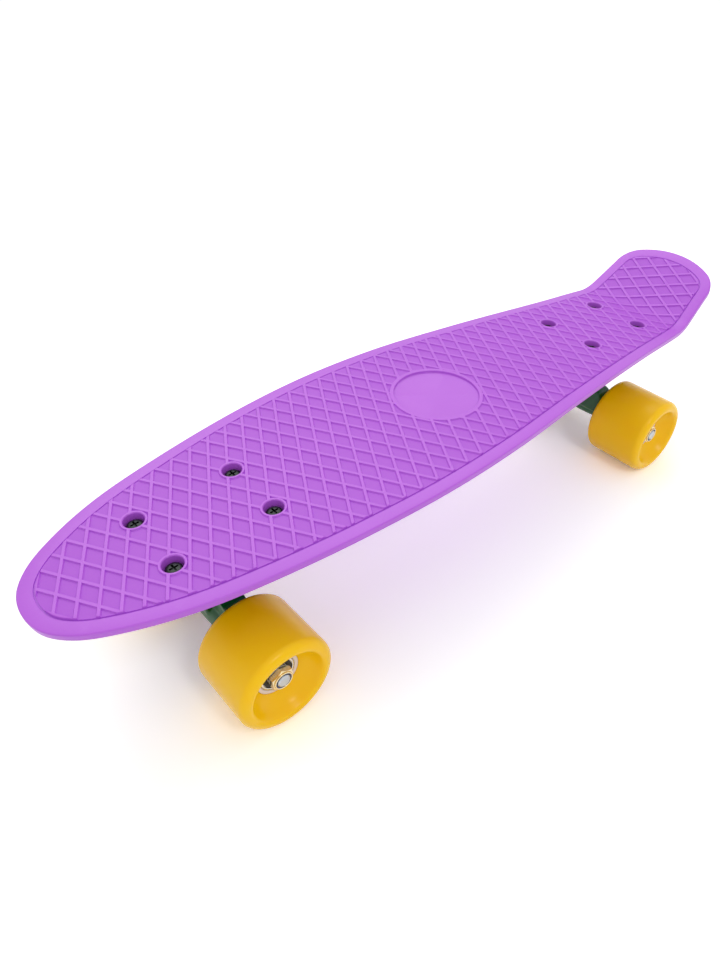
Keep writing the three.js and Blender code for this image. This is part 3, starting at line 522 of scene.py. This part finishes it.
def bent(point):
    """Moves a point of the flat deck onto the board's side view."""
    x, z, heading, side = surface_at(point.x)
    lift = point.z - min(0, point.z + EDGE_DEPTH) * (1 - rib_share(point.x))
    return BOARD_PLACE + Vector((
        x - side * math.sin(heading) * lift, point.y, z + math.cos(heading) * lift))


def smooth_line(control, steps):
    """Points of a smooth curve through control points, the first and last left out."""
    line = []
    for before, start, end, after in zip(control, control[1:], control[2:], control[3:]):
        spans = [max((b - a).length ** 0.5, 0.01) for a, b in
                 ((before, start), (start, end), (end, after))]
        leave = ((start - before) / spans[0] - (end - before) / (spans[0] + spans[1])
                 + (end - start) / spans[1]) * spans[1]
        arrive = ((end - start) / spans[1] - (after - start) / (spans[1] + spans[2])
                  + (after - end) / spans[2]) * spans[1]
        for step in range(steps):
            u = step / steps
            line.append(start + leave * u
                        + (-3 * start + 3 * end - 2 * leave - arrive) * u ** 2
                        + (2 * start - 2 * end + leave + arrive) * u ** 3)
    return line


SIDE_STEPS = 9
CORNER_STEPS = 14
BACK_STEPS = 8


def deck_outline():
    """The flat deck's outline: smooth nose and sides, round tail corners, bowed back edge."""
    corner_side = TAIL_HALF_WIDTH - TAIL_CORNER_RADIUS
    reach = TAIL_BACK_RADIUS - TAIL_CORNER_RADIUS
    corner_x = -TAIL_END + TAIL_BACK_RADIUS - math.sqrt(reach ** 2 - corner_side ** 2)
    control = [Vector((share * (TAIL_END if share < 0 else NOSE_END), wide * DECK_HALF_WIDTH))
               for share, wide in OUTLINE_SHARES]
    control.append(Vector((corner_x, TAIL_HALF_WIDTH)))
    ends = [Vector((control[1].x, -control[1].y)), 2 * control[-1] - control[-2]]
    half = smooth_line([ends[0], *control, ends[1]], SIDE_STEPS)
    meeting = math.asin(corner_side / reach)
    for step in range(CORNER_STEPS + 1):
        angle = math.pi / 2 - (math.pi / 2 - meeting) * step / CORNER_STEPS
        half.append(Vector((corner_x - TAIL_CORNER_RADIUS * math.cos(angle),
                            corner_side + TAIL_CORNER_RADIUS * math.sin(angle))))
    for step in range(1, BACK_STEPS + 1):
        angle = meeting * (1 - step / BACK_STEPS)
        half.append(Vector((-TAIL_END + TAIL_BACK_RADIUS * (1 - math.cos(angle)),
                            TAIL_BACK_RADIUS * math.sin(angle))))
    return half + [Vector((point.x, -point.y)) for point in half[-2:0:-1]]


OUTLINE = deck_outline()


def stepped_face(height, steps, upward):
    """The outline's face at a height, drawn in by pairs of inset and move along its normal."""
    bm = bmesh.new()
    face = bm.faces.new([bm.verts.new((point.x, point.y, height)) for point in OUTLINE])
    face.normal_update()
    if (face.normal.z > 0) != upward:
        face.normal_flip()
    for inset, move in steps:
        bmesh.ops.inset_region(bm, faces=[face], thickness=inset, depth=move,
                               use_even_offset=True, use_boundary=True)
    return bm


BEND_STEP = 2.6 * DEGREE
STRAIGHT_STEP = 22


def bend_stations():
    """Distances at which the flat deck is cut across so that it bends smoothly."""
    stations = [0.0]
    for side, runs in ((1, NOSE_RUNS), (-1, TAIL_RUNS)):
        start = 0
        for length, turn in runs:
            parts = max(1, math.ceil(abs(turn) / BEND_STEP), math.ceil(length / STRAIGHT_STEP))
            stations += [side * (start + length * part / parts) for part in range(1, parts + 1)]
            start += length
    return [place for place in sorted(stations) if -TAIL_END + 1 < place < NOSE_END - 1]


def sliced(bm):
    """Cut across at the bend's stations."""
    for place in bend_stations():
        bmesh.ops.bisect_plane(bm, geom=bm.verts[:] + bm.edges[:] + bm.faces[:],
                               dist=0.0001, plane_co=(place, 0, 0), plane_no=(1, 0, 0))
    return bm


def flat_deck():
    """Shell with a rolled rim, raised panel, skirt and the hull that the bays are cut from."""
    widest = -0.9
    top = stepped_face(widest, (
        (0.03, 0.3), (0.12, 0.27), (0.25, 0.2), (0.5, 0.13),
        (6.95, 0), (0.1, -0.12), (0.12, -0.45), (0.65, -0.03), (0.12, 0.6), (0.1, 0.62),
        (0.12, 0.2), (0.3, 0.08)), True)
    bottom = stepped_face(widest, (
        (0.05, 1.2), (0.25, 2.2), (0.5, 0.5), (3.17, 0.1),
        (0.3, -0.3), (0.4, -0.8), (7.8, 0), (0.35, 0.3), (0.25, 6.2), (0.3, 0.5), (0.4, 0.2)),
        False)
    bm = gathered([top, bottom])
    bmesh.ops.remove_doubles(bm, verts=bm.verts, dist=0.001)
    bmesh.ops.recalc_face_normals(bm, faces=bm.faces)
    return bm


def inner_outline(inset):
    """The deck's outline drawn in by a distance, as points."""
    bm = bmesh.new()
    face = bm.faces.new([bm.verts.new((point.x, point.y, 0)) for point in OUTLINE])
    bmesh.ops.inset_region(bm, faces=[face], thickness=inset, use_even_offset=True,
                           use_boundary=True)
    points = [(loop.vert.co.x, loop.vert.co.y) for loop in face.loops]
    bm.free()
    return points


def tapered(points, start, level, steps, corner=0, corner_steps=1):
    """An upright solid over an outline. Its corners are rounded, and its end at the level is
    drawn in by pairs of inset and depth."""
    bm = prism(points, start, level)
    if corner:
        bmesh.ops.bevel(bm, geom=upright_edges(bm), offset=corner, offset_type="OFFSET",
                        segments=corner_steps, profile=0.5, affect="EDGES", material=-1)
    way = 1 if level > start else -1
    end = max(bm.faces, key=lambda face: face.calc_center_median().z * way)
    for inset, depth in steps:
        bmesh.ops.inset_region(bm, faces=[end], thickness=inset, depth=depth,
                               use_even_offset=True)
    return bm


def without_slivers(bm, least):
    """Drops a cutter's separate shells whose widest flat face is smaller than an area."""
    waiting, dropped = set(bm.faces), []
    while waiting:
        shell, fresh = [], [waiting.pop()]
        while fresh:
            shell.append(fresh.pop())
            near = {face for edge in shell[-1].edges for face in edge.link_faces} & waiting
            waiting -= near
            fresh += near
        if sum(face.calc_area() for face in shell if face.normal.z > 0.99) < least:
            dropped += shell
    bmesh.ops.delete(bm, geom=dropped, context="FACES")
    return bm


WAFFLE_ALONG = 12.05
WAFFLE_ACROSS = 20.87
WAFFLE_RIB = 1.5
PANEL_FRAME = 11.8
# The Boolean solver stalls where flat faces of two cutters lie level, so they are set this far
# apart, and the cutter that bounds the others goes deeper at its foot
APART = 0.004
DEEPER = (0.01, 0.5)
CELL_FLOOR = 0.05
CELL_WALL = ((0.1, 0.08), (0.12, 0.33), (0.12, 0.29), (0.22, 0.15))


def cell_keep_out(radius, steps, place):
    """A round post that the cells stop at, with the same sloping wall as theirs."""
    side = [(0, PANEL_RISE + 2, 0), (radius, PANEL_RISE + 2, 0), (radius, PANEL_RISE, 0)]
    level = PANEL_RISE
    for inset, depth in CELL_WALL:
        radius += inset
        level -= depth
        side.append((radius, level, 0))
    return turned(spun(side + [(radius, level - 2, 0), (0, level - 2, 0)], steps),
                  Matrix.Translation(place))


def waffle_cutters():
    """Diamond cells between ribs that cross at sixty degrees, over the whole raised panel."""
    square = WAFFLE_ALONG * math.sqrt(3) / 2
    columns, rows = range(-48, 48), range(-7, 8)
    share = (square - WAFFLE_RIB) / square / 2
    along_half, across_half = WAFFLE_ALONG * share, WAFFLE_ACROSS * share
    above = PANEL_RISE + 1
    cell = tapered([(along_half, 0), (0, across_half), (-along_half, 0), (0, -across_half)],
                   above, PANEL_RISE, CELL_WALL)
    centres = [(n * WAFFLE_ALONG / 2, m * WAFFLE_ACROSS / 2, 0)
               for n in columns for m in rows if (n + m) % 2]
    cells = [turned(cell.copy(), Matrix.Translation(centre)) for centre in centres]
    area = tapered(inner_outline(PANEL_FRAME), above + 0.5, PANEL_RISE + APART,
                   (*CELL_WALL, DEEPER))
    posts = [cell_keep_out(RECESS_RADIUS + 2.5, 96, (0, 0, 2 * APART))]
    posts += [cell_keep_out(WELL_RADIUS + 1.4, 48, (x, y, 2 * APART)) for x, y in BOLT_CENTRES]
    area = joined(area, gathered(posts), "DIFFERENCE")
    return without_slivers(joined(gathered(cells), area, "INTERSECT"), 3)


def bay_cutters():
    """Bays between the underside's ribs: three lanes between rows of cross ribs."""
    pitch, rib, long_rib = 46, 2.6, 36
    wall = ((0.35, 0.35), (0.35, 6.3), (0.5, 0.55))
    bays = []
    for n in range(-7, 7):
        for low, high in ((-90, -long_rib / 2), (-long_rib / 2, long_rib / 2), (long_rib / 2, 90)):
            ends = [(n * pitch + rib / 2, (n + 1) * pitch - rib / 2),
                    (low + rib / 2, high - rib / 2)]
            corners = [(ends[0][i], ends[1][j]) for i, j in ((0, 0), (1, 0), (1, 1), (0, 1))]
            bays.append(tapered(corners, -RIB_DEPTH - 2, -RIB_DEPTH, wall, 4, 4))
    area = tapered(inner_outline(15.9), -RIB_DEPTH - 3, -RIB_DEPTH + APART, (*wall, DEEPER))
    widening = sum(inset for inset, _ in wall)
    half_length, half_width = PAD_LENGTH / 2 + 1.5 + widening, PAD_WIDTH / 2 + 1.5 + widening
    posts = []
    for side in (1, -1):
        middle = side * TRUCK_SPREAD / 2
        corners = [(middle + i * half_length, j * half_width)
                   for i, j in ((-1, -1), (1, -1), (1, 1), (-1, 1))]
        posts.append(tapered(corners, -CEILING_DEPTH + 1, -CEILING_DEPTH + 2 * APART,
                             (*wall[::-1], (0.01, 4)), 8, 6))
    area = joined(area, gathered(posts), "DIFFERENCE")
    return without_slivers(joined(gathered(bays), area, "INTERSECT"), 60)


def countersunk(radius, floor, rim_round):
    """A round cutter from a filleted floor up past the panel, with a flared mouth."""
    return spun([(0, floor, 0), (radius, floor, 0.5), (radius, PANEL_RISE - rim_round, 0.25),
                 (radius + rim_round, PANEL_RISE, 0), (radius + rim_round, 4, 0), (0, 4, 0)],
                96 if radius > 12 else 40)


def hole_cutters():
    """The round recess and the screw wells."""
    wells = [turned(countersunk(WELL_RADIUS, WELL_FLOOR, 0.5), Matrix.Translation((x, y, 0)))
             for x, y in BOLT_CENTRES]
    return gathered([countersunk(RECESS_RADIUS, PANEL_RISE - RECESS_DEPTH, 0.35), *wells])


def bolt_hole_cutters():
    """Holes from the wells down through the pads."""
    return gathered(turned(rod(BOLT_HOLE_RADIUS, -20, -5, 24), Matrix.Translation((x, y, 0)))
                    for x, y in BOLT_CENTRES)


def make_deck():
    deck = sliced(flat_deck())
    pads = gathered([
        turned(rounded_plate(PAD_LENGTH, PAD_WIDTH, 7, -PAD_DEPTH, -5, 0.5),
               Matrix.Translation((side * TRUCK_SPREAD / 2, 0, 0))) for side in (1, -1)])
    deck = joined(deck, sliced(pads), "UNION")
    deck = joined(deck, sliced(bay_cutters()), "DIFFERENCE")
    deck = joined(deck, sliced(hole_cutters()), "DIFFERENCE")
    deck = joined(deck, sliced(bolt_hole_cutters()), "DIFFERENCE")
    deck = joined(deck, sliced(waffle_cutters()), "DIFFERENCE")
    # Marks the cells' floors, which the material paints darker as painted shade and makes rougher
    shade_and_erosion = deck.verts.layers.float.new("shade_and_erosion")
    for vert in deck.verts:
        vert[shade_and_erosion] = 1 if abs(vert.co.z - CELL_FLOOR) < 0.01 else 0
        vert.co = bent(vert.co)
    piece("deck_moulding", [(deck, PURPLE)], ["deck"])


# ---- Trucks ----

def truck_frame(end):
    """Where a truck's own axes lie: on its pad, turned round at the rear."""
    x, z, heading, _ = surface_at(TRUCK_SPREAD / 2)
    drop = PAD_DEPTH + GAP
    under = Vector((x + math.sin(heading) * drop, 0, z - math.cos(heading) * drop))
    turn = Matrix.Rotation(HALF_TURN if end == "rear" else 0, 4, "Z")
    return (Matrix.Translation(BOARD_PLACE) @ turn @ Matrix.Translation(under)
            @ Matrix.Rotation(-heading, 4, "Y"))


ON_KINGPIN = along(KINGPIN_TOP, KINGPIN_WAY)
ON_PIVOT = along(PIVOT_POINT, STEER_WAY)


def side_shape(points, half):
    """A solid from a side view in x and z, as thick as twice its half."""
    bm = prism(points, -half, half)
    return turned(bm, Matrix.Rotation(math.pi / 2, 4, "X"))


def make_base_plate(end, place):
    plate = rounded_plate(78, 56, 9, -PLATE_THICKNESS, 0, 1)
    boss = turned(spun([(0, 0, 0), (14.5, 0, 0), (13, 6, 0), (12.8, 14, 0.8), (0, 14, 0)]),
                  ON_KINGPIN)
    housing = turned(spun([(0, -6, 0), (11.2, -6, 1), (11.4, 5, 4), (6, 9, 0), (0, 9, 0)]),
                     ON_PIVOT)
    shoulder = side_shape([(-18, -3), (31, -3), (24, -14), (-4, -14), (-12, -11)], 5)
    above = block(160, 160, 60, (0, 0, 30))
    shape = cast([plate, boss, housing, bevelled(shoulder, 1)], 0.8, 4)
    shape = joined(shape, above, "DIFFERENCE")
    for cutter in (
            turned(spun([(0, -8.5, 0), (7.6, -8.5, 0), (7.6, 4.6, 0.5), (0, 4.6, 0)]), ON_PIVOT),
            turned(rod(5, -8, 20), ON_KINGPIN),
            turned(rod(7.9, -8, 8.2), ON_KINGPIN)):
        shape = joined(shape, cutter, "DIFFERENCE")
    holes = [turned(rod(BOLT_HOLE_RADIUS, -12, 4, 32), Matrix.Translation((x, y, 0)))
             for x, y in BOLT_PLACES]
    shape = joined(shape, gathered(holes), "DIFFERENCE")
    piece(f"base_plate_{end}", [(shape, GREEN)], [f"baseplate_{end}"], place)


def make_hanger(end, place):
    on_axle = along(AXLE_POINT, (0, 1, 0))
    barrel_side = [(7.4, 33.2, 1), (8.2, 36.2, 0.6), (8.2, HANGER_HALF, 0.8)]
    barrel = turned(spun([(0, -HANGER_HALF, 0), *mirrored(barrel_side), (8.9, -9, 4), (8.9, 9, 4),
                          *barrel_side, (0, HANGER_HALF, 0)]), on_axle)
    ring = turned(rod(RING_RADIUS, RING_START, RING_END, 64, 1.2), ON_KINGPIN)
    across = Vector((math.cos(KINGPIN_LEAN), 0, -math.sin(KINGPIN_LEAN)))
    ring_top = RING_CENTRE + across * 13.5 - KINGPIN_WAY * RING_HALF
    ring_bottom = RING_CENTRE + KINGPIN_WAY * RING_HALF
    steer_up = Vector((-STEER_WAY.z, 0, STEER_WAY.x))
    arm_base = PIVOT_POINT - STEER_WAY * 10
    arm_top, arm_bottom = arm_base + steer_up * 5.6, arm_base - steer_up * 7.2
    web = side_shape([
        (ring_top.x, ring_top.z), (arm_top.x, arm_top.z), (arm_bottom.x, arm_bottom.z),
        (AXLE_POINT.x + 8.8, AXLE_POINT.z + 4.4), (AXLE_POINT.x + 4.4, AXLE_POINT.z - 5.3),
        (AXLE_POINT.x - 4.4, AXLE_POINT.z - 5.3), (AXLE_POINT.x - 8.8, AXLE_POINT.z + 4.4),
        (ring_bottom.x + 10.5, ring_bottom.z - 1.8)], 8.5)
    wing_front = [(-36.2, 0), (36.2, 0), (36.2, 5.8), (30, 9.6), (22, 18), (8.5, 21.5),
                  (-8.5, 21.5), (-22, 18), (-30, 9.6), (-36.2, 5.8)]
    wing_above = [(-10.5, -22), (-3.6, -36.2), (3.6, -36.2), (4, -22), (4, 22), (3.6, 36.2),
                  (-3.6, 36.2), (-10.5, 22)]
    wing = turned(prism(wing_front, -10.5, 4), Matrix.Rotation(math.pi / 2, 4, "Z")
                  @ Matrix.Rotation(math.pi / 2, 4, "X"))
    wing = turned(joined(wing, prism(wing_above, 0, 24), "INTERSECT"),
                  Matrix.Translation(AXLE_POINT))
    arm = turned(spun([(0, -15.6, 0), (8, -15.6, 0), (8, -10, 1), (5.4, -7.2, 0), (0, -7.2, 0)]),
                 ON_PIVOT)
    shape = cast([barrel, ring, bevelled(web, 1.5), bevelled(wing, 1), arm], 0.8, 7)
    pin = turned(spun([(0, -11, 0), (4.8, -11, 0), (4.8, 2.5, 1.4), (0, 2.5, 0)]), ON_PIVOT)
    shape = joined(shape, pin, "UNION")
    for cutter in (
            turned(rod(RING_BORE, 20, 45, 64), ON_KINGPIN),
            turned(rod(CUSHION_SEAT_RADIUS, 14.6, 29.3), ON_KINGPIN),
            turned(rod(CUSHION_SEAT_RADIUS, 33.7, 56), ON_KINGPIN),
            turned(rod(AXLE_BORE, -50, 50, 40), on_axle)):
        shape = joined(shape, cutter, "DIFFERENCE")
    piece(f"hanger_casting_{end}", [(shape, GREEN)], [f"hanger_{end}"], place)


def thread(radius, start, end, pitch=1.0, depth=0.28):
    """Profile points of the turns of a thread between two heights."""
    turns = round(abs(end - start) / pitch)
    step = (end - start) / turns
    points = []
    for turn in range(turns):
        points += [(radius, start + turn * step, 0),
                   (radius - depth, start + (turn + 0.5) * step, 0)]
    return points + [(radius - depth, end, 0)]


def hexagon(radius, start, end):
    """A hexagon bar with both ends turned to a thirty degree chamfer."""
    bar = turned(rod(radius, start, end, 6), Matrix.Rotation(30 * DEGREE, 4, "Z"))
    way = 1 if end > start else -1
    drop = radius * 0.075 * way
    turning = spun([(0, start, 0), (radius * 0.87, start, 0), (radius * 1.002, start + drop, 0),
                    (radius * 1.002, end - drop, 0), (radius * 0.87, end, 0), (0, end, 0)], 72)
    return joined(bar, turning, "INTERSECT")


def lock_nut(bore, radius, height, collar):
    """A hexagon nut whose round collar is rolled over a nylon ring: metal and ring."""
    top = height + collar
    inner = bore + (radius * 0.8 - bore) * 0.36
    rolled = spun([(0, height / 2, 0), (radius * 0.8, height / 2, 0), (radius * 0.8, top, 0.5),
                   (inner, top - 0.1, 0.25), (inner, height - 0.4, 0), (0, height - 0.4, 0)], 64)
    metal = joined(hexagon(radius, 0, height), rolled, "UNION")
    metal = joined(metal, rod(bore, -2, top + 2, 48), "DIFFERENCE")
    ring = spun([(bore - 0.15, height - 0.3, 0), (inner - 0.02, height - 0.3, 0),
                 (inner - 0.02, top - 0.45, 0.2), (bore - 0.15, top - 0.45, 0.2)], 48)
    return metal, ring


def make_kingpin_stack(end, place):
    on_pin = place @ ON_KINGPIN
    head = hexagon(7.6, 2.4, 7.9)
    shank = spun([(0, 5, 0), (KINGPIN_RADIUS, 5, 0), (KINGPIN_RADIUS, 40, 0),
                  *thread(KINGPIN_RADIUS, 44, 54.6), (3.9, 55.7, 0), (0, 55.7, 0)], 40)
    pin = joined(head, shank, "UNION")
    piece(f"kingpin_bolt_{end}", [(pin, BRIGHT_ZINC)], [f"kingpin_{end}"], on_pin)
    for word, start, way in (("upper", 14.3, 1), ("lower", 44.3, -1)):
        back, front = (start, start + CUP_LIP) if way > 0 else (start + CUP_LIP, start)
        lip = front + CUP_LIP * way
        cup = spun([(5, back, 0), (12.3, back, 1), (12.3, lip, 0.3), (11.5, lip, 0.3),
                    (11.5, front, 0.4), (5, front, 0)], 56)
        piece(f"bushing_cup_{word}_{end}", [(cup, BRIGHT_ZINC)], [f"cup_washer_{word}_{end}"],
              on_pin)
    # Each cushion reaches from its cup to the hanger's ring. The bore is
    # wider there, so that the tilted rubber clears the kingpin.
    for word, in_cup, at_ring, cup_radius in (
            ("upper", 16, 29, CUSHION_RADIUS), ("lower", 44, 34, 9)):
        cushion = spun([(CUSHION_BORE, in_cup, 0.3), (cup_radius, in_cup, 1.5),
                        (CUSHION_RADIUS, at_ring, 1.5), (CUSHION_RING_BORE, at_ring, 0.3)], 56, 5)
        piece(f"bushing_cushion_{word}_{end}", [(cushion, RUBBER)], [f"bushing_{word}_{end}"],
              on_pin, bends=(f"hanger_{end}", in_cup, at_ring))
    metal, ring = lock_nut(5, 8.2, 5.6, 1.9)
    piece(f"kingpin_lock_nut_{end}", [(metal, BRIGHT_ZINC), (ring, NYLON)], [f"kingpin_nut_{end}"],
          on_pin @ Matrix.Translation((0, 0, 46)))
    liner = spun([(0, 4.6, 0), (7.3, 4.6, 0.8), (7.3, -6, 0.4), (5.1, -6, 0.4), (5.1, 2.8, 1),
                  (0, 2.8, 0)], 48)
    piece(f"pivot_liner_{end}", [(liner, RUBBER)], [f"pivot_cup_{end}"],
          place @ ON_PIVOT)


def make_axle(end, place):
    washer_start = 39.5
    half = [(3.95, 30, 0), (3.95, washer_start, 0), (6.6, washer_start, 0.2),
            (6.6, washer_start + 0.8, 0.2), (3.95, washer_start + 0.8, 0), (3.95, 47.9, 0),
            (5.2, 47.9, 0.2), (5.2, 57.3, 0.2), (3.95, 57.3, 0), *thread(3.95, 62, 70.2, 0.9, 0.2),
            (3.95, 70.3, 0), (3.25, 71, 0.1), (0, 71, 0)]
    bar = spun(mirrored(half) + half, 40)
    piece(f"axle_bar_{end}", [(bar, BRIGHT_ZINC)], [f"axle_{end}"],
          place @ along(AXLE_POINT, (0, 1, 0)))


def tyre_profile():
    """Tread with round lips, and a bowl on each side that falls to the core."""
    face = [(13.4, 12.1, 0), (19.2, 16.4, 3.4), (22.8, 23.5, 1.7), (29.5, 23.5, 5)]
    return face + mirrored(face)


def core_profile():
    """The white core that the bearings sit in, its shoulder between them."""
    side = [(9.3, 4.7, 0.3), (11.1, 4.7, 0), (11.1, 12, 0.3), (13.3, 12, 0.3)]
    return side + mirrored(side)


def bearing_profiles(way):
    """Outer and inner ring as one closed body, and the rubber seal between them."""
    rings = [(4.3, 5, 0), (11, 5, 0.4), (11, 12, 0.5), (9.4, 12, 0.3), (9.4, 11, 0),
             (6.2, 11, 0), (6.2, 12, 0.25), (4.3, 12, 0.3)]
    seal = [(6.4, 10.8, 0), (9.2, 10.8, 0), (9.2, 11.5, 0.2), (8.6, 11.7, 0.2), (6.8, 11.6, 0.2),
            (6.4, 11.3, 0.1)]
    return [[(r, z * way, b) for r, z, b in points] for points in (rings, seal)]


def make_wheel(end, side_word, side, place):
    centre = AXLE_POINT + Vector((0, side * WHEEL_CENTRE, 0))
    on_wheel = place @ along(centre, (0, side, 0))
    tyre = spun(tyre_profile(), 128, 8)
    where = f"{end}_{side_word}"
    piece(f"wheel_casting_{where}", [(tyre, YELLOW), (spun(core_profile(), 96), CORE_NYLON)],
          [f"wheel_{where}"], on_wheel, sharper=40)
    for face, way in (("inner", -1), ("outer", 1)):
        rings, seal = [spun(points, 72) for points in bearing_profiles(way)]
        piece(f"ball_bearing_{face}_{where}", [(rings, GROUND_STEEL), (seal, RUBBER)],
              [f"bearing_{where}_{face}"], on_wheel)
    on_face = place @ along(AXLE_POINT, (0, side, 0))
    washer = spun([(AXLE_BORE, 64.9, 0.1), (6.6, 64.9, 0.2), (6.6, 65.7, 0.2),
                   (AXLE_BORE, 65.7, 0.1)], 48)
    piece(f"axle_washer_{where}", [(washer, BRIGHT_ZINC)], [f"speed_washer_{where}"],
          on_face)
    metal, ring = lock_nut(AXLE_BORE, 7.3, 3.6, 0.9)
    piece(f"axle_lock_nut_{where}", [(metal, YELLOW_ZINC), (ring, NYLON)], [f"axle_nut_{where}"],
          on_face @ Matrix.Translation((0, 0, 66)))


def make_deck_bolts(end, place):
    head_top = PAD_DEPTH + GAP + PANEL_RISE - SCREW_SINK
    for number, (x, y) in enumerate(BOLT_PLACES, 1):
        bolt = spun([(0, -13.2, 0), (1.7, -13.2, 0), *thread(2.3, -12.6, 2, 0.8, 0.22),
                     (2.3, 2.2, 0), (2.3, head_top - 2.9, 0.2), (4.3, head_top - 2.9, 0.4),
                     (4.7, head_top - 0.9, 0.5), (3.2, head_top, 0.8), (0, head_top, 0)], 40)
        cross = joined(
            block(5, 1.2, 4, (0, 0, head_top + 0.5)), block(1.2, 5, 4, (0, 0, head_top + 0.5)),
            "UNION")
        bolt = joined(bolt, cross, "DIFFERENCE")
        piece(f"deck_screw_{end}_{number}", [(bolt, BLACK_STEEL)], [f"deck_bolt_{end}_{number}"],
              place @ Matrix.Translation((x, y, 0)))
        metal, ring = lock_nut(BOLT_HOLE_RADIUS, 5.4, 3.8, 1.5)
        piece(f"deck_lock_nut_{end}_{number}", [(metal, BRIGHT_ZINC), (ring, NYLON)],
              [f"deck_nut_{end}_{number}"],
              place @ along((x, y, -PLATE_THICKNESS - GAP), (0, 0, -1)))


def make_truck(end):
    place = truck_frame(end)
    make_base_plate(end, place)
    make_hanger(end, place)
    make_kingpin_stack(end, place)
    make_axle(end, place)
    make_deck_bolts(end, place)
    left = -1 if end == "rear" else 1
    for side_word, side in (("left", left), ("right", -left)):
        make_wheel(end, side_word, side, place)


# ---- Camera, light and floor ----

def make_camera():
    """The photograph's viewpoint: close to the nose and a little above it."""
    data = bpy.data.cameras.new("camera")
    data.sensor_width = 36
    data.lens = 28.35
    data.shift_x = -0.0417
    data.shift_y = -0.025
    data.clip_start = 0.01
    camera = bpy.data.objects.new("camera", data)
    bpy.context.scene.collection.objects.link(camera)
    right = Vector((-0.74076, 0.670685, 0.038169))
    down = Vector((0.388764, 0.474335, -0.789854))
    ahead = Vector((-0.547848, -0.570253, -0.612106))
    turn = Matrix((right, -down, -ahead)).transposed().to_4x4()
    camera.matrix_world = Matrix.Translation((0.30918, 0.284225, 0.372526)) @ turn
    bpy.context.scene.camera = camera


def seen_directly(material):
    """1 for rays from the camera, and from mirrors and glass, else 0."""
    path = add(material, "ShaderNodeLightPath")
    first = add(material, "ShaderNodeMath",
                {0: path.outputs["Is Camera Ray"], 1: path.outputs["Is Glossy Ray"]},
                operation="MAXIMUM")
    return add(material, "ShaderNodeMath",
               {0: first.outputs[0], 1: path.outputs["Is Transmission Ray"]},
               operation="MAXIMUM").outputs[0]


SKY_LIGHT = 0.76


def make_studio():
    """An even sky that is seen as pure white, and two softboxes."""
    world = bpy.data.worlds.new("studio")
    world.use_nodes = True
    background = world.node_tree.nodes["Background"]
    background.inputs["Color"].default_value = (1, 1, 1, 1)
    level = add(world, "ShaderNodeMapRange",
                {"Value": seen_directly(world), "To Min": SKY_LIGHT, "To Max": 1.0})
    world.node_tree.links.new(level.outputs["Result"], background.inputs["Strength"])
    bpy.context.scene.world = world
    # A wide softbox behind the tail, and a small one over the camera that draws bright edges
    for name, sides, energy, place in (
            ("wide_softbox", (1.6, 1.2), 8.5, Vector((-0.35, -0.9, 1.35))),
            ("small_softbox", (0.32, 0.32), 2.6, Vector((0.2, 0.95, 1.2)))):
        lamp = bpy.data.lights.new(name, "AREA")
        lamp.shape = "RECTANGLE"
        lamp.size, lamp.size_y = sides
        lamp.energy = energy
        softbox = bpy.data.objects.new(name, lamp)
        bpy.context.scene.collection.objects.link(softbox)
        softbox.matrix_world = along(place, Vector((0, 0, 0.05)) - place) @ Matrix.Rotation(
            HALF_TURN, 4, "X")


def make_floor():
    """White paper that lights the object as plain paper does, and is drawn a little whiter."""
    bm = bmesh.new()
    bmesh.ops.create_grid(bm, x_segments=1, y_segments=1, size=6)
    floor = bpy.data.objects.new("floor", to_mesh(bm, "floor"))
    bpy.context.scene.collection.objects.link(floor)
    material = bpy.data.materials.new("white_paper_floor")
    material.use_nodes = True
    material.node_tree.nodes.clear()
    paper = add(material, "ShaderNodeBsdfDiffuse", {"Color": (0.9, 0.9, 0.9, 1)})
    # A little green here evens out the purple light that the deck throws down
    whiter = add(material, "ShaderNodeBsdfDiffuse", {"Color": (0.345, 0.38, 0.33, 1)})
    glow = add(material, "ShaderNodeEmission", {"Color": (1, 1, 1, 1), "Strength": 0.08})
    extra = add(material, "ShaderNodeAddShader", {0: whiter.outputs[0], 1: glow.outputs[0]})
    lit = add(material, "ShaderNodeAddShader", {0: paper.outputs[0], 1: extra.outputs[0]})
    shown = add(material, "ShaderNodeMixShader",
                {0: seen_directly(material), 1: paper.outputs[0], 2: lit.outputs[0]})
    add(material, "ShaderNodeOutputMaterial", {"Surface": shown.outputs[0]})
    floor.data.materials.append(material)


make_camera()
make_deck()
for end in ENDS:
    make_truck(end)
make_studio()
make_floor()
bpy.context.scene.view_settings.view_transform = "Standard"

bpy.context.view_layer.update()
